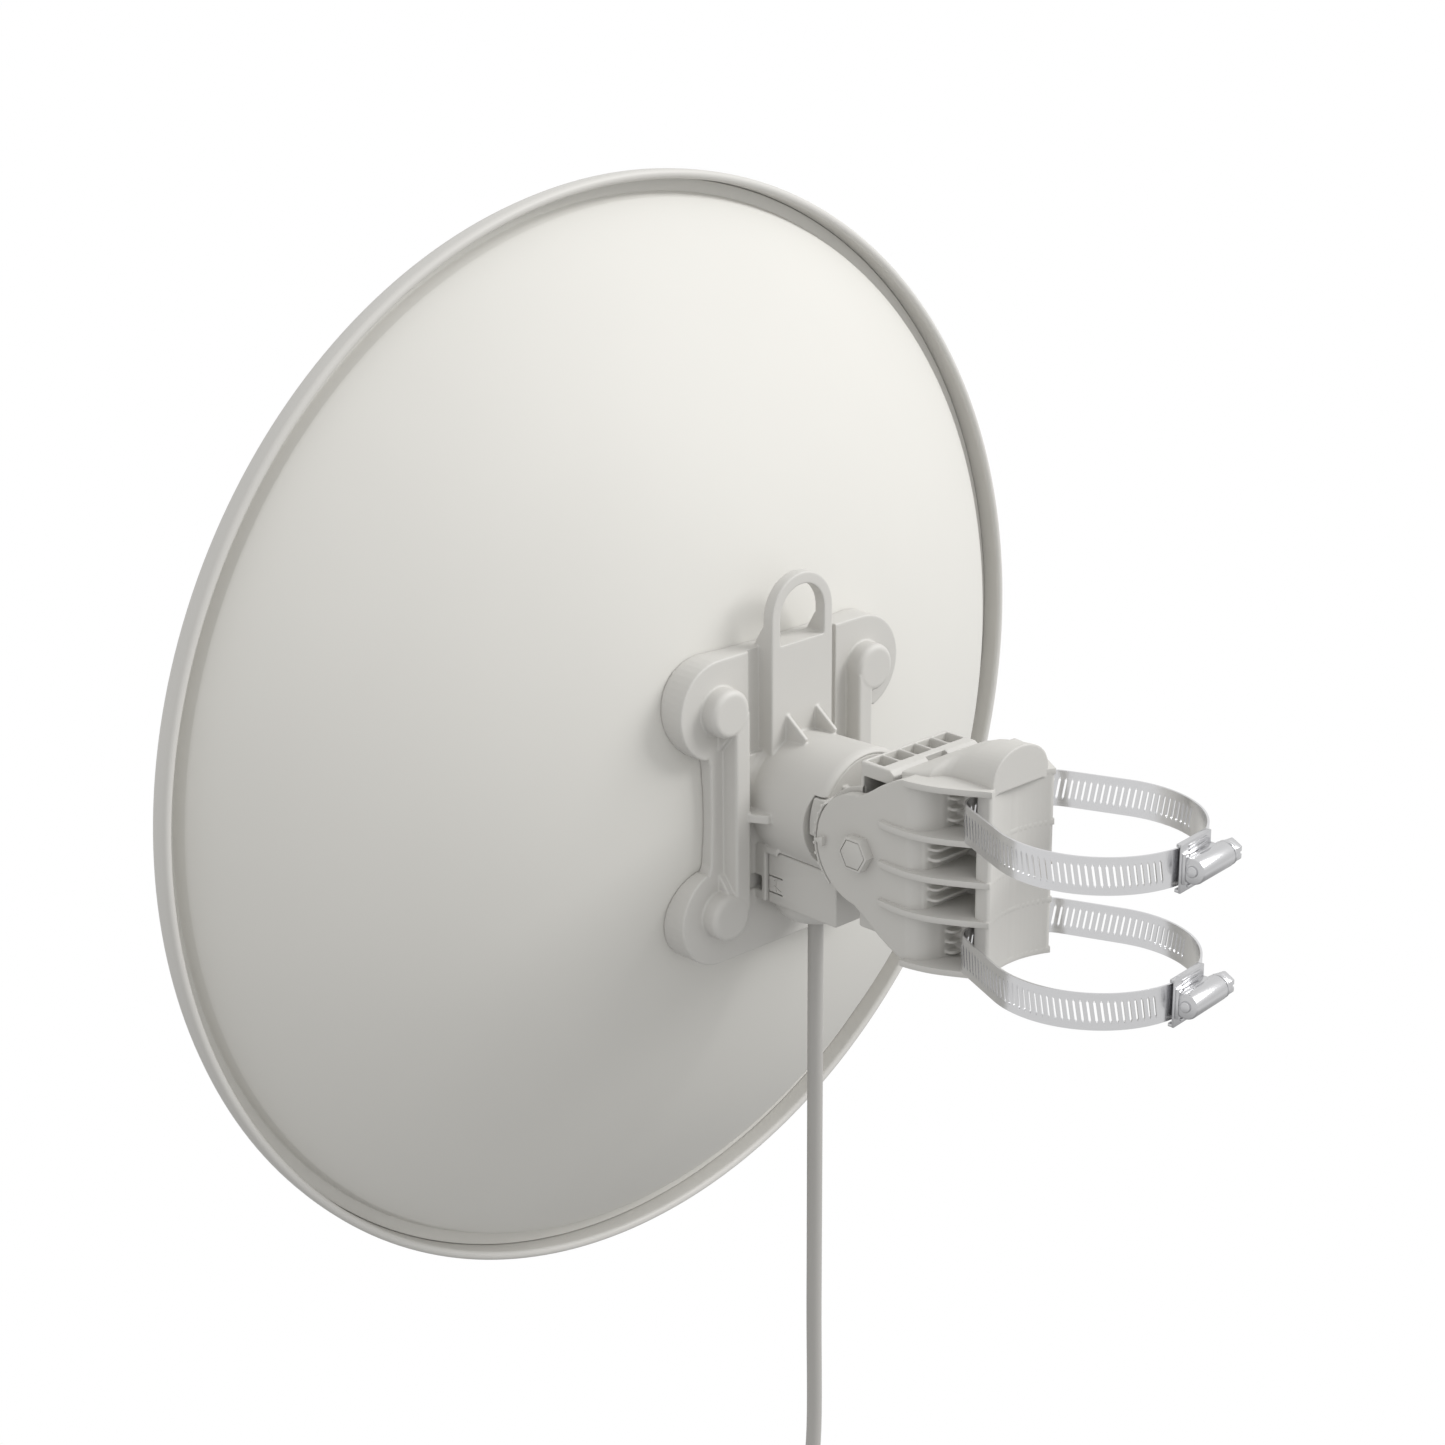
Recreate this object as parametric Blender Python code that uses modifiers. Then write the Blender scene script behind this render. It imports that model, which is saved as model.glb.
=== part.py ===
"""Mast antenna: a round reflector with a front radome, a rear housing, a tilting knuckle and a pole bracket.

Lengths are millimetres; MM turns them into metres. +Z is up along the pole, the dish looks along -Y,
and the origin is where the dish's axis crosses the pole's axis.
"""
import math

import bmesh
import bpy
from mathutils import Matrix, Vector

MM = 0.001

# Pole and bands
POLE_RADIUS = 33.0
BAND_INNER = 33.35
BAND_THICK = 0.7
BAND_HEIGHT = 12.2
BAND_CENTRES = {"upper": 21.3, "lower": -23.1}
BAND_LEAVES_AT = -22.5      # degrees from +X, where the band leaves the pole
BAND_FRONT_Y = -37.6        # the straight run through the bracket
BAND_CORNER = 8.0
CLAMP_ANGLE = 96.5          # degrees from +X, the worm housing's place
SCREW_RADIAL = 38.7

# Elevation hinge
HINGE_Y = -77.0
BOLT_RADIUS = 3.0
BOLT_HOLE = 3.25
HEX_FLAT = 11.0

# Bracket
CHEEK_IN = 21.0
CHEEK_OUT = 25.0
CHEEK_NOSE = 19.0
SWEPT_RADIUS = 31.8         # room for the knuckle to turn in
RIB_LEVELS = (30.0, 12.6, -1.0, -14.4, -31.9)
RIB_THICK = 2.2
SADDLE_HALF = 15.7
SADDLE_Y = -30.2

# Rear housing
PLATE_Y = -132.4
LOBE = (34.3, 36.0, 18.0)   # x, z and radius of a lobe
WAIST = 38.0
BAR_Y = -125.8
BOSS_RADIUS = 8.0
TAB_HALF = 14.35
TAB_Y = -127.7
LOOP_Z = 63.75
LOOP_HALF = 10.3
LOOP_FLOOR = 54.5
BARREL_END = -97.0
BARREL_BORE = 18.2
SLOT_HALF = 11.3
SLOT_RADIUS = 27.5

# Cable bay
BAY_HALF = 17.0
BAY_TOP = -15.9
BAY_BOTTOM = -35.0
BAY_REAR = -95.0
CABLE_Y = -121.0
CABLE_RADIUS = 2.75
CABLE_TOP = -44.8

# Dish
RIM_RADIUS = 200.0
DISH_EDGE = 190.5
APEX_Y = -134.1
DISH_A = 0.00201
DISH_B = 5.94e-9
SHEET = 1.0
LIP_RADIUS = 1.65
LIP_Y = -213.3
RADOME_FRONT = -256.0
RADOME_WALL = 2.2
ROUND_STEPS = 48

# Spare cable
COIL_MEAN = 31.0
COIL_LANE = 5.55            # a turn and the gap beside it
COIL_Z = -334.0
COIL_RADIAL = COIL_LANE / 2 + CABLE_RADIUS + 0.1
COIL_AXIAL = 1.5 * COIL_LANE + CABLE_RADIUS + 0.15


def collection(name):
    made = bpy.data.collections.new(name)
    bpy.context.scene.collection.children.link(made)
    return made


for old in list(bpy.data.objects):
    bpy.data.objects.remove(old, do_unlink=True)
PARTS = collection("mast_antenna")
CUTTERS = collection("cutters")
CUTTERS.hide_render = True


def material(name, colour, roughness, metallic=0.0):
    made = bpy.data.materials.new(name)
    made.use_nodes = True
    shader = made.node_tree.nodes["Principled BSDF"]
    shader.inputs["Base Color"].default_value = (*colour, 1.0)
    shader.inputs["Roughness"].default_value = roughness
    shader.inputs["Metallic"].default_value = metallic
    return made


PLASTIC = material("weathered_white_plastic", (0.72, 0.71, 0.67), 0.5)
PAINT = material("white_painted_sheet", (0.80, 0.79, 0.75), 0.45)
STEEL = material("stainless_steel", (0.75, 0.75, 0.76), 0.25, 1.0)
RUBBER = material("grey_rubber", (0.28, 0.28, 0.27), 0.7)
CABLE = material("grey_cable_jacket", (0.62, 0.61, 0.58), 0.5)
BOARD = material("green_board", (0.05, 0.22, 0.10), 0.5)
CLEAR = material("clear_plug_plastic", (0.75, 0.78, 0.80), 0.2)
DIELECTRIC = material("white_dielectric", (0.88, 0.88, 0.86), 0.5)


def hidden(obj):
    """Keeps a construction shape out of the finished object."""
    CUTTERS.objects.link(obj)
    obj.hide_render = True
    obj.display_type = "WIRE"
    return obj


def from_bmesh(bm, name="shape"):
    bmesh.ops.recalc_face_normals(bm, faces=bm.faces)
    mesh = bpy.data.meshes.new(name)
    bm.to_mesh(mesh)
    bm.free()
    return hidden(bpy.data.objects.new(name, mesh))


def block(low, high, turn=None, about=(0, 0, 0)):
    """A box between two corners, if asked turned by a matrix about a point."""
    low = Vector(low)
    high = Vector(high)
    bm = bmesh.new()
    bmesh.ops.create_cube(bm, size=1.0)
    size = high - low
    middle = (high + low) / 2
    for v in bm.verts:
        v.co = Vector(c * s for c, s in zip(v.co, size)) + middle
    if turn:
        about = Vector(about)
        for v in bm.verts:
            v.co = turn @ (v.co - about) + about
    for v in bm.verts:
        v.co *= MM
    return from_bmesh(bm)


def rod(start, end, radius, sides=24, end_radius=None, spin=0.0):
    """A cylinder, cone or six-sided bar from one point to another."""
    start = Vector(start)
    end = Vector(end)
    along = end - start
    turn = along.to_track_quat("Z", "Y").to_matrix().to_4x4()
    bm = bmesh.new()
    bmesh.ops.create_cone(
        bm,
        cap_ends=True,
        segments=sides,
        radius1=radius,
        radius2=radius if end_radius is None else end_radius,
        depth=along.length,
        matrix=Matrix.Translation((start + end) / 2) @ turn @ Matrix.Rotation(spin, 4, "Z"),
    )
    for v in bm.verts:
        v.co *= MM
    return from_bmesh(bm)


PLANES = {
    "YZ": Matrix(((0, 0, 1, 0), (1, 0, 0, 0), (0, 1, 0, 0), (0, 0, 0, 1))),
    "XZ": Matrix(((1, 0, 0, 0), (0, 0, -1, 0), (0, 1, 0, 0), (0, 0, 0, 1))),
    "XY": Matrix.Identity(4),
}


def to_mesh(obj):
    """The evaluated shape of a curve or a modified mesh as a plain closed mesh, in world space."""
    bpy.context.scene.collection.objects.link(obj)
    bpy.context.view_layer.update()
    graph = bpy.context.evaluated_depsgraph_get()
    mesh = bpy.data.meshes.new_from_object(obj.evaluated_get(graph))
    mesh.transform(obj.matrix_world)
    bpy.data.objects.remove(obj, do_unlink=True)
    bm = bmesh.new()
    bm.from_mesh(mesh)
    bmesh.ops.remove_doubles(bm, verts=bm.verts, dist=1e-6)
    bpy.data.meshes.remove(mesh)
    return from_bmesh(bm)


def prism(outline, plane, low, high):
    """A flat outline in the named plane, extruded between two places on the third axis."""
    curve = bpy.data.curves.new("outline", "CURVE")
    curve.dimensions = "2D"
    curve.fill_mode = "BOTH"
    curve.extrude = (high - low) / 2 * MM
    spline = curve.splines.new("POLY")
    spline.points.add(len(outline) - 1)
    for point, (a, b) in zip(spline.points, outline):
        point.co = (a * MM, b * MM, 0, 1)
    spline.use_cyclic_u = True
    obj = bpy.data.objects.new("outline", curve)
    side = -1 if plane == "XZ" else 1
    shift = Matrix.Translation((0, 0, side * (high + low) / 2 * MM))
    obj.matrix_world = PLANES[plane] @ shift
    return to_mesh(obj)


def turned(profile, axis="Y", centre=(0, 0, 0), steps=ROUND_STEPS, ring=False):
    """A profile of (radius, height) points turned about an axis; ring closes the profile on itself."""
    mesh = bpy.data.meshes.new("profile")
    points = [(r * MM, 0, h * MM) for r, h in profile]
    edges = [(i, i + 1) for i in range(len(points) - 1)]
    if ring:
        edges.append((len(points) - 1, 0))
    mesh.from_pydata(points, edges, [])
    obj = bpy.data.objects.new("profile", mesh)
    screw = obj.modifiers.new("turn", "SCREW")
    screw.steps = steps
    screw.render_steps = steps
    screw.use_merge_vertices = True
    screw.merge_threshold = 1e-5
    turn = Matrix.Rotation(-math.pi / 2, 4, "X") if axis == "Y" else Matrix.Identity(4)
    obj.matrix_world = Matrix.Translation(Vector(centre) * MM) @ turn
    return to_mesh(obj)


def arc(cx, cy, radius, start, end, count):
    """Points on a circle, angles in degrees."""
    angles = [math.radians(start + (end - start) * i / count) for i in range(count + 1)]
    return [(cx + radius * math.cos(a), cy + radius * math.sin(a)) for a in angles]


def mirrored(points):
    """An outline's right half followed by its left half."""
    return points + [(-x, y) for x, y in reversed(points)]


def boolean(obj, other, operation):
    step = obj.modifiers.new(operation.lower(), "BOOLEAN")
    step.operation = operation
    step.solver = "EXACT"
    step.object = other


def part(name, finish, shapes, cuts=(), hinge=None):
    """One finished piece: shapes joined, cuts taken out, hung on its joint's empty if it moves."""
    obj = bpy.data.objects.new(name, shapes[0].data.copy())
    PARTS.objects.link(obj)
    if len(shapes) > 1:
        group = collection(f"{name}_shapes")
        for other in shapes[1:]:
            group.objects.link(other)
        group.hide_render = True
        step = obj.modifiers.new("union", "BOOLEAN")
        step.operation = "UNION"
        step.solver = "EXACT"
        step.operand_type = "COLLECTION"
        step.collection = group
    for other in cuts:
        boolean(obj, other, "DIFFERENCE")
    obj.data.materials.clear()
    obj.data.materials.append(finish)
    obj.data.shade_smooth()
    obj.data.set_sharp_from_angle(angle=math.radians(35))
    if hinge:
        obj.parent = hinge
        obj.matrix_parent_inverse = hinge.matrix_basis.inverted()
    return obj


def joint_empty(name, place):
    made = bpy.data.objects.new(name, None)
    made.empty_display_size = 0.02
    made.location = Vector(place) * MM
    PARTS.objects.link(made)
    return made


TILT = joint_empty("elevation_axis", (0, HINGE_Y, 0))


# ---------------------------------------------------------------- dish

def dish_rear(r):
    return APEX_Y - DISH_A * r * r - DISH_B * r ** 4


def dish_slope(r):
    return 2 * DISH_A * r + 4 * DISH_B * r ** 3


def reflector():
    hole = 14.0
    count = 11
    flange = dish_rear(DISH_EDGE)
    rear = []
    front = []
    for i in range(count + 1):
        r = hole + (DISH_EDGE - hole) * i / count
        s = dish_slope(r)
        k = math.hypot(1, s)
        rear.append((r, dish_rear(r)))
        front.append((r - SHEET * s / k if i else r, dish_rear(r) - SHEET / k))
    front[-1] = (DISH_EDGE - 0.6, flange - SHEET)
    edge = [(196.2, flange), (196.2, flange - SHEET)]
    body = turned(rear + edge + front[::-1], ring=True)
    screws = [rod((x, -150, z), (x, -120, z), 2.4, 12) for x, z in SCREW_PLACES]
    part("reflector", PAINT, [body], screws, TILT)


def cap_y(r, crown, radius):
    return crown + radius - math.sqrt(radius * radius - r * r)


def radome():
    edge = 196.0
    rise = -218.5 - RADOME_FRONT
    radius = (edge * edge + rise * rise) / (2 * rise)
    outer = [(r, cap_y(r, RADOME_FRONT, radius)) for r in (0, 35, 70, 105, 140, 170, edge)]
    outer += [(198.7, -216.1), (199.7, -214.7)]
    lip = arc(RIM_RADIUS - LIP_RADIUS, LIP_Y, LIP_RADIUS, 0, 180, 6)
    ledge = dish_rear(DISH_EDGE) - SHEET - 0.3
    seat = [(196.7, ledge), (195.2, ledge), (195.2, ledge - 1.2), (193.0, ledge - 1.2), (193.0, ledge)]
    inner = [(191.0, ledge)]
    crown = RADOME_FRONT + RADOME_WALL
    inner += [(r, cap_y(r, crown, radius - RADOME_WALL)) for r in (188, 170, 140, 105, 70, 35, 0)]
    part("radome", PLASTIC, [turned(outer + lip + seat + inner)], (), TILT)
    seal = [(194.9, ledge), (194.9, ledge - 0.9), (193.3, ledge - 0.9), (193.3, ledge)]
    part("rim_seal", RUBBER, [turned(seal, ring=True)], (), TILT)


def feed():
    tube = [(12.0, -137.0), (12.0, -200.0), (9.5, -200.0), (9.5, -137.0)]
    part("feed_waveguide", STEEL, [turned(tube, steps=24, ring=True)], (), TILT)
    cone = [(0, -192), (9.2, -192), (9.2, -200.3), (12, -200.3), (24, -224), (24, -226), (0, -226)]
    part("feed_cone", DIELECTRIC, [turned(cone, steps=24)], (), TILT)
    plate = [(0, -226.3), (25, -226.3), (25, -228.3), (4, -231), (0, -231)]
    part("sub_reflector", STEEL, [turned(plate, steps=24)], (), TILT)


# ---------------------------------------------------------------- rear housing

SCREW_PLACES = [(sx * LOBE[0], sz * LOBE[1]) for sx in (1, -1) for sz in (1, -1)]


def plate_outline():
    """The four lobed back plate, seen along the dish's axis."""
    x, z, r = LOBE
    meet = math.degrees(math.acos((WAIST - x) / r))
    right = arc(x, z, r, 90, -meet, 12) + arc(x, -z, r, meet, -90, 12)
    return mirrored(right)


def bar_shapes(side):
    """One vertical bar with a boss at each end and a small rib under each boss."""
    x, z, _ = LOBE
    inner, outer = sorted((side * (x - BOSS_RADIUS), side * (x - 1.7)))
    shapes = [block((inner, PLATE_Y - 1, -z), (outer, BAR_Y, z))]
    for sz in (1, -1):
        shapes.append(rod((side * x, PLATE_Y - 1, sz * z), (side * x, BAR_Y, sz * z), BOSS_RADIUS))
        low, high = sorted((sz * 20.5, sz * 30.5))
        foot = (side * (x - 2.2), side * (x + 0.6))
        rib = [(PLATE_Y - 1, low), (PLATE_Y - 1, high), (BAR_Y - 1.5, high)]
        if sz < 0:
            rib = [(PLATE_Y - 1, low), (PLATE_Y - 1, high), (BAR_Y - 1.5, low)]
        shapes.append(prism(rib, "YZ", min(foot), max(foot)))
    return shapes


def hoist_shapes():
    stadium = [(TAB_HALF, 15)] + arc(0, LOOP_Z, TAB_HALF, 0, 180, 16) + [(-TAB_HALF, 15)]
    face = prism(stadium, "XZ", -132.1, TAB_Y)
    kink = LOOP_Z - 1.2
    side = [(TAB_Y - 0.5, 15), (TAB_Y - 0.5, kink), (-132.1, kink), (-136.3, 54.3), (-138, 50), (-138, 15)]
    return [face, prism(side, "YZ", -TAB_HALF, TAB_HALF)]


def housing_cuts():
    opening = [(LOOP_HALF, LOOP_FLOOR)] + arc(0, LOOP_Z, LOOP_HALF, 0, 180, 16) + [(-LOOP_HALF, LOOP_FLOOR)]
    cuts = [prism(opening, "XZ", -150, -120)]
    dome = [(r, dish_rear(r) + 0.3) for r in (0, 20, 40, 60, 80)]
    cuts.append(turned(dome + [(80, -170), (0, -170)]))
    cuts.append(rod((0, -150, 0), (0, -129, 0), 12.4, 24))
    for side in (1, -1):
        nose = arc(HINGE_Y, 0, SLOT_RADIUS, 180 - 24.3, 180 + 24.3, 8)
        slot = [(-90, SLOT_HALF)] + nose + [(-90, -SLOT_HALF)]
        low, high = sorted((side * 17.6, side * 27))
        cuts.append(prism(slot, "YZ", low, high))
        low, high = sorted((side * 14, side * 20))
        cuts.append(block((low, -133.4, -31.3), (high, -129.2, -25.8)))
    for x, z in SCREW_PLACES:
        cuts.append(rod((x, -150, z), (x, -127.9, z), 1.9, 12))
    cuts.append(block((-8.6, -128.7, -22), (8.6, -112.3, -10)))
    cuts.append(block((-15.0, -131.0, -40), (15.0, -90, -15.5)))
    cuts.append(block((-17.35, -127.25, -40), (17.35, -90, -15.6)))
    return cuts


def rear_housing():
    barrel = [(0, -133.5), (21.8, -133.5), (22.5, -124), (23.0, -107), (23.4, -98.2), (22.6, BARREL_END)]
    barrel += [(21.4, BARREL_END), (21.4, -98.9), (BARREL_BORE, -98.9), (BARREL_BORE, -130.6), (0, -130.6)]
    shapes = [prism(plate_outline(), "XZ", -146, PLATE_Y), turned(barrel, steps=40)]
    shapes += hoist_shapes() + bar_shapes(1) + bar_shapes(-1)
    for x in (7.0, -7.0):
        gusset = [(-129, 31), (-118.7, 23.6), (-118.7, 21.4), (-129, 21.4)]
        shapes.append(prism(gusset, "YZ", x - 0.8, x + 0.8))
        shelf = [(x * 2.9, -131.4), (x * 3.7, -130), (x * 3.7, -124.8), (x * 3.2, -119.6), (x * 2.9, -119.6)]
        shapes.append(prism(shelf, "XY", -2.6, 0.0))
    shapes.append(block((-17.4, -134, -16.2), (17.4, -101.4, -12.8)))
    shapes.append(block((-18.2, -135, -34.6), (18.2, -127.3, -14)))
    for x in (17.0, -17.0):
        shapes.append(block((x - 1.2, -128, -17.4), (x + 1.2, -121.7, -14.5)))
    part("rear_housing", PLASTIC, shapes, housing_cuts(), TILT)
    for i, (x, z) in enumerate(SCREW_PLACES):
        head_y = dish_rear(math.hypot(x, z)) - SHEET - 1.2
        shank = rod((x, head_y - 0.2, z), (x, -128.4, z), 1.6, 12)
        head = rod((x, head_y - 2.4, z), (x, head_y, z), 3.6, 16)
        part(f"housing_screw_{i + 1}", STEEL, [head, shank], (), TILT)


def electronics():
    board = block((-14.5, -128.5, -6.6), (14.5, -101.5, -5.0))
    part("circuit_board", BOARD, [board], (), TILT)
    can = block((-10.5, -125, -4.7), (10.5, -104, 0.8))
    part("board_shield", STEEL, [can], [block((-9.9, -124.4, -6), (9.9, -104.6, 0.2))], TILT)
    jack = block((-8, -128, -20), (8, -113, -6.9))
    part("ethernet_jack", STEEL, [jack], [block((-6.2, -125, -22), (6.2, -117, -11.5))], TILT)
    plug = block((-5.8, -124.6, -29), (5.8, -117.4, -12))
    boot = rod((0, CABLE_Y, -33), (0, CABLE_Y, -28.5), 3.4, 16, 4.6)
    part("inner_plug", CLEAR, [plug, boot], (), TILT)


def cable_bay():
    walls = block((-BAY_HALF, -127.0, BAY_BOTTOM), (BAY_HALF, BAY_REAR, BAY_TOP))
    room = block((-15.2, -140, -60), (15.2, BAY_REAR - 1.8, 0))
    slits = []
    for x in (16.0, -16.0):
        for z in (-25.0, -31.0):
            slits.append(block((x - 3, -129, z - 0.25), (x + 3, -120.1, z + 0.25)))
    part("cable_door", PLASTIC, [walls], [room] + slits, DOOR)
    floor = block((-14.7, -130.4, -34.8), (14.7, -97.1, -33.0))
    bowl = [(0, -43.0), (7.5, -42.6), (11.5, -41.0), (13.8, -38.6), (14.6, -36.0), (14.6, -33.4), (0, -33.4)]
    cup = turned(bowl, "Z", (0, CABLE_Y, 0), 32)
    hollow = rod((0, CABLE_Y, -40.2), (0, CABLE_Y, -30), 10.5, 24)
    throat = rod((0, CABLE_Y, -50), (0, CABLE_Y, -39), 5.0, 20)
    trims = [block((-20, -150, -60), (20, -132.1, -20)), block((-20, -140, -34.9), (20, -130.7, -20))]
    part("cable_cup", PLASTIC, [floor, cup], [hollow, throat] + trims, TILT)
    collar = [(0, -39.6), (6.4, -39.6), (6.4, -39.9), (4.7, -39.9), (4.7, -44.0), (4.1, -44.5), (0, -44.5)]
    part("cable_grommet", RUBBER, [turned(collar, "Z", (0, CABLE_Y, 0), 20)], (), TILT)


# ---------------------------------------------------------------- knuckle

def tilt_knuckle():
    disc = rod((0, -98.6, 0), (0, BARREL_END - 0.6, 0), 21.0, 40)
    spigot = rod((0, -101, 0), (0, -98, 0), 17.8, 32)
    tongue = block((-20.7, -98.0, -11), (20.7, -80, 11))
    frame = block((-20.5, -81.2, -28.6), (20.5, -66.4, 29.3))
    shapes = [frame, tongue, disc, spigot]
    cuts = [rod((-30, HINGE_Y, 0), (30, HINGE_Y, 0), BOLT_HOLE, 20)]
    for side in (1, -1):
        nose = arc(HINGE_Y, 0, SLOT_RADIUS - 0.3, 180 - 23.8, 180 + 23.8, 8)
        low, high = sorted((side * 17.9, side * 20.7))
        shapes.append(prism([(-96, 11)] + nose + [(-96, -11)], "YZ", low, high))
        low, high = sorted((side * 6.5, side * 22))
        cuts.append(block((low, -79.5, 13.0), (high, -68.2, 24.6)))
        cuts.append(block((low, -79.5, -24.0), (high, -68.2, -13.0)))
    for i in range(5):
        x = (i - 2) * 7.6
        cuts.append(block((x - 3.1, -78.0, 26.2), (x + 3.1, -71.7, 31)))
    cuts.append(block((-4.5, -68.6, 25.0), (4.5, -65, 31)))
    part("tilt_knuckle", PLASTIC, shapes, cuts, TILT)


def tilt_fasteners():
    head = rod((CHEEK_OUT + 0.3, HINGE_Y, 0), (28.3, HINGE_Y, 0), HEX_FLAT / math.sqrt(3), 6)
    pad = rod((28.0, HINGE_Y, 0), (28.7, HINGE_Y, 0), 9.0 / math.sqrt(3), 6)
    shank = rod((-34, HINGE_Y, 0), (26, HINGE_Y, 0), BOLT_RADIUS, 20)
    part("tilt_bolt", STEEL, [head, pad, shank])
    hole = rod((-40, HINGE_Y, 0), (0, HINGE_Y, 0), BOLT_HOLE, 20)
    washer = rod((-26.7, HINGE_Y, 0), (-25.3, HINGE_Y, 0), 6.6, 32)
    part("tilt_washer", STEEL, [washer], [hole])
    nut = rod((-32.0, HINGE_Y, 0), (-27.0, HINGE_Y, 0), HEX_FLAT / math.sqrt(3), 6)
    part("tilt_nut", STEEL, [nut], [hole], NUT)


# ---------------------------------------------------------------- pole bracket

def cheek_outline():
    """A cheek from the side, in Y and Z: a round nose on the hinge and two swept edges."""
    nose = arc(HINGE_Y, 0, CHEEK_NOSE, 97, 263, 18)
    top = [(-52, 30.5), (-57.5, 30.4), (-62.5, 28.3), (-67.5, 25.6), (-72.0, 21.9), (-75.5, 19.6)]
    return top + nose + [(y, -z - 1.6) for y, z in reversed(top)]


MIDDLE_WALL = [(24.6, -66), (24.5, -58), (23.8, -54), (22.4, -51.8), (20.7, -51.0), (19, -50.8)]
END_WALL = [(24.6, -66), (24.2, -57.5), (22.6, -52), (18.6, -49.9), (14.5, -48.5), (12, -48.4)]


def rib_outline(tip_y):
    tip = [(21.7, tip_y), (25.1, tip_y), (25.5, -56.5), (25.7, -52), (25.4, -47.2), (22.5, -41.8)]
    seat = arc(0, 0, POLE_RADIUS + 0.4, -62.6, -90, 6)
    return mirrored(tip + [(SADDLE_HALF + 0.3, SADDLE_Y + 0.2)] + seat[:-1])


def saddle_outline(front):
    seat = arc(0, 0, POLE_RADIUS + 0.4, -64.6, -90, 5)
    return mirrored([(SADDLE_HALF - 0.8, front), (SADDLE_HALF, front + 1.2), (SADDLE_HALF, SADDLE_Y)] + seat[:-1])


def hood():
    """The raised crown over the bracket's top rib."""
    sections = [(-63.0, 6.0, 0.6), (-58.0, 11.0, 3.2), (-51.5, 13.6, 6.0), (-42.0, 13.6, 8.4), (-31.2, 13.6, 9.6)]
    bm = bmesh.new()
    rings = []
    for y, half, height in sections:
        ring = [(half, 29.0)] + [(half * math.cos(a), 30.8 + height * math.sin(a)) for a in
                                 [math.pi * i / 10 for i in range(11)]] + [(-half, 29.0)]
        rings.append([bm.verts.new((x * MM, y * MM, z * MM)) for x, z in ring])
    for near, far in zip(rings, rings[1:]):
        for i in range(len(near)):
            j = (i + 1) % len(near)
            bm.faces.new((near[i], near[j], far[j], far[i]))
    bm.faces.new(rings[0])
    bm.faces.new(rings[-1])
    return from_bmesh(bm)


def pole_bracket():
    shapes = []
    for side in (1, -1):
        low, high = sorted((side * CHEEK_IN, side * CHEEK_OUT))
        shapes.append(prism(cheek_outline(), "YZ", low, high))
    shapes.append(prism(mirrored(MIDDLE_WALL), "XY", -15.2, 13.4))
    shapes.append(prism(mirrored(END_WALL), "XY", 12.2, 30.5))
    shapes.append(prism(mirrored(END_WALL), "XY", -32.4, -14.0))
    for level in RIB_LEVELS:
        at_end = abs(level) > 20
        rib = prism(rib_outline(-57.2 if at_end else -68.2), "XY", level - RIB_THICK / 2, level + RIB_THICK / 2)
        shapes.append(rib)
    for front, low, high in ((-36.4, 12, 30.5), (-36.4, -32.4, -14), (-36.6, -14.6, 12.6)):
        shapes.append(prism(saddle_outline(front), "XY", low, high))
    shapes.append(block((-1.5, -52, -15), (1.5, -33.5, 13)))
    fins = [(21.3, 16.6, 20.3, 24.0, 27.2), (3.2, 3.6, 8.0), (3.2, -9.9, -5.8), (21.3, -29.0, -25.3, -21.6, -18.0)]
    for row, (kind, *levels) in enumerate(fins):
        half, rear, root = (20.4, -47.6, -51.6) if kind < 10 else (14.0, -44.6, -49.2)
        for z in levels:
            shapes.append(block((-half, root, z - 0.6), (half, rear, z + 0.6)))
    shapes.append(hood())
    pointer = [(-96.6, -0.6), (-93.2, 1.0), (-93.2, -2.2)]
    for side in (1, -1):
        low, high = sorted((side * (CHEEK_OUT - 0.6), side * (CHEEK_OUT + 0.9)))
        shapes.append(prism(pointer, "YZ", low, high))
    cuts = [rod((-40, HINGE_Y, 0), (40, HINGE_Y, 0), BOLT_HOLE, 20)]
    swept = arc(HINGE_Y, 0, SWEPT_RADIUS, 41.3, 90, 6)
    swept += [(-110, SWEPT_RADIUS), (-110, -SWEPT_RADIUS)] + arc(HINGE_Y, 0, SWEPT_RADIUS, -90, -41.3, 6)
    cuts.append(prism(swept, "YZ", -CHEEK_IN - 0.3, CHEEK_IN + 0.3))
    part("pole_bracket", PLASTIC, shapes, cuts)


# ---------------------------------------------------------------- clamps

def band_path():
    """The band's middle line: round the pole, then straight past the saddle's corners."""
    radius = BAND_INNER + BAND_THICK / 2
    right = arc(0, 0, radius, 90, BAND_LEAVES_AT, 22)
    a = math.radians(BAND_LEAVES_AT)
    heading = Vector((math.sin(a), -math.cos(a)))
    leave = Vector(right[-1])
    run = (BAND_FRONT_Y - leave.y) / heading.y
    corner = leave + heading * run
    setback = BAND_CORNER * math.tan(math.radians(90 + BAND_LEAVES_AT) / 2)
    start = corner - heading * setback
    centre = start + Vector((heading.y, -heading.x)) * BAND_CORNER
    first = math.degrees(math.atan2(start.y - centre.y, start.x - centre.x))
    right += arc(centre.x, centre.y, BAND_CORNER, first, -90, 6)
    return right + [(-x, y) for x, y in reversed(right[1:])]


def offset(path, distance):
    moved = []
    for i, (x, y) in enumerate(path):
        before = Vector(path[i - 1])
        after = Vector(path[(i + 1) % len(path)])
        along = (after - before).normalized()
        moved.append((x - along.y * distance, y + along.x * distance))
    return moved


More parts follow.
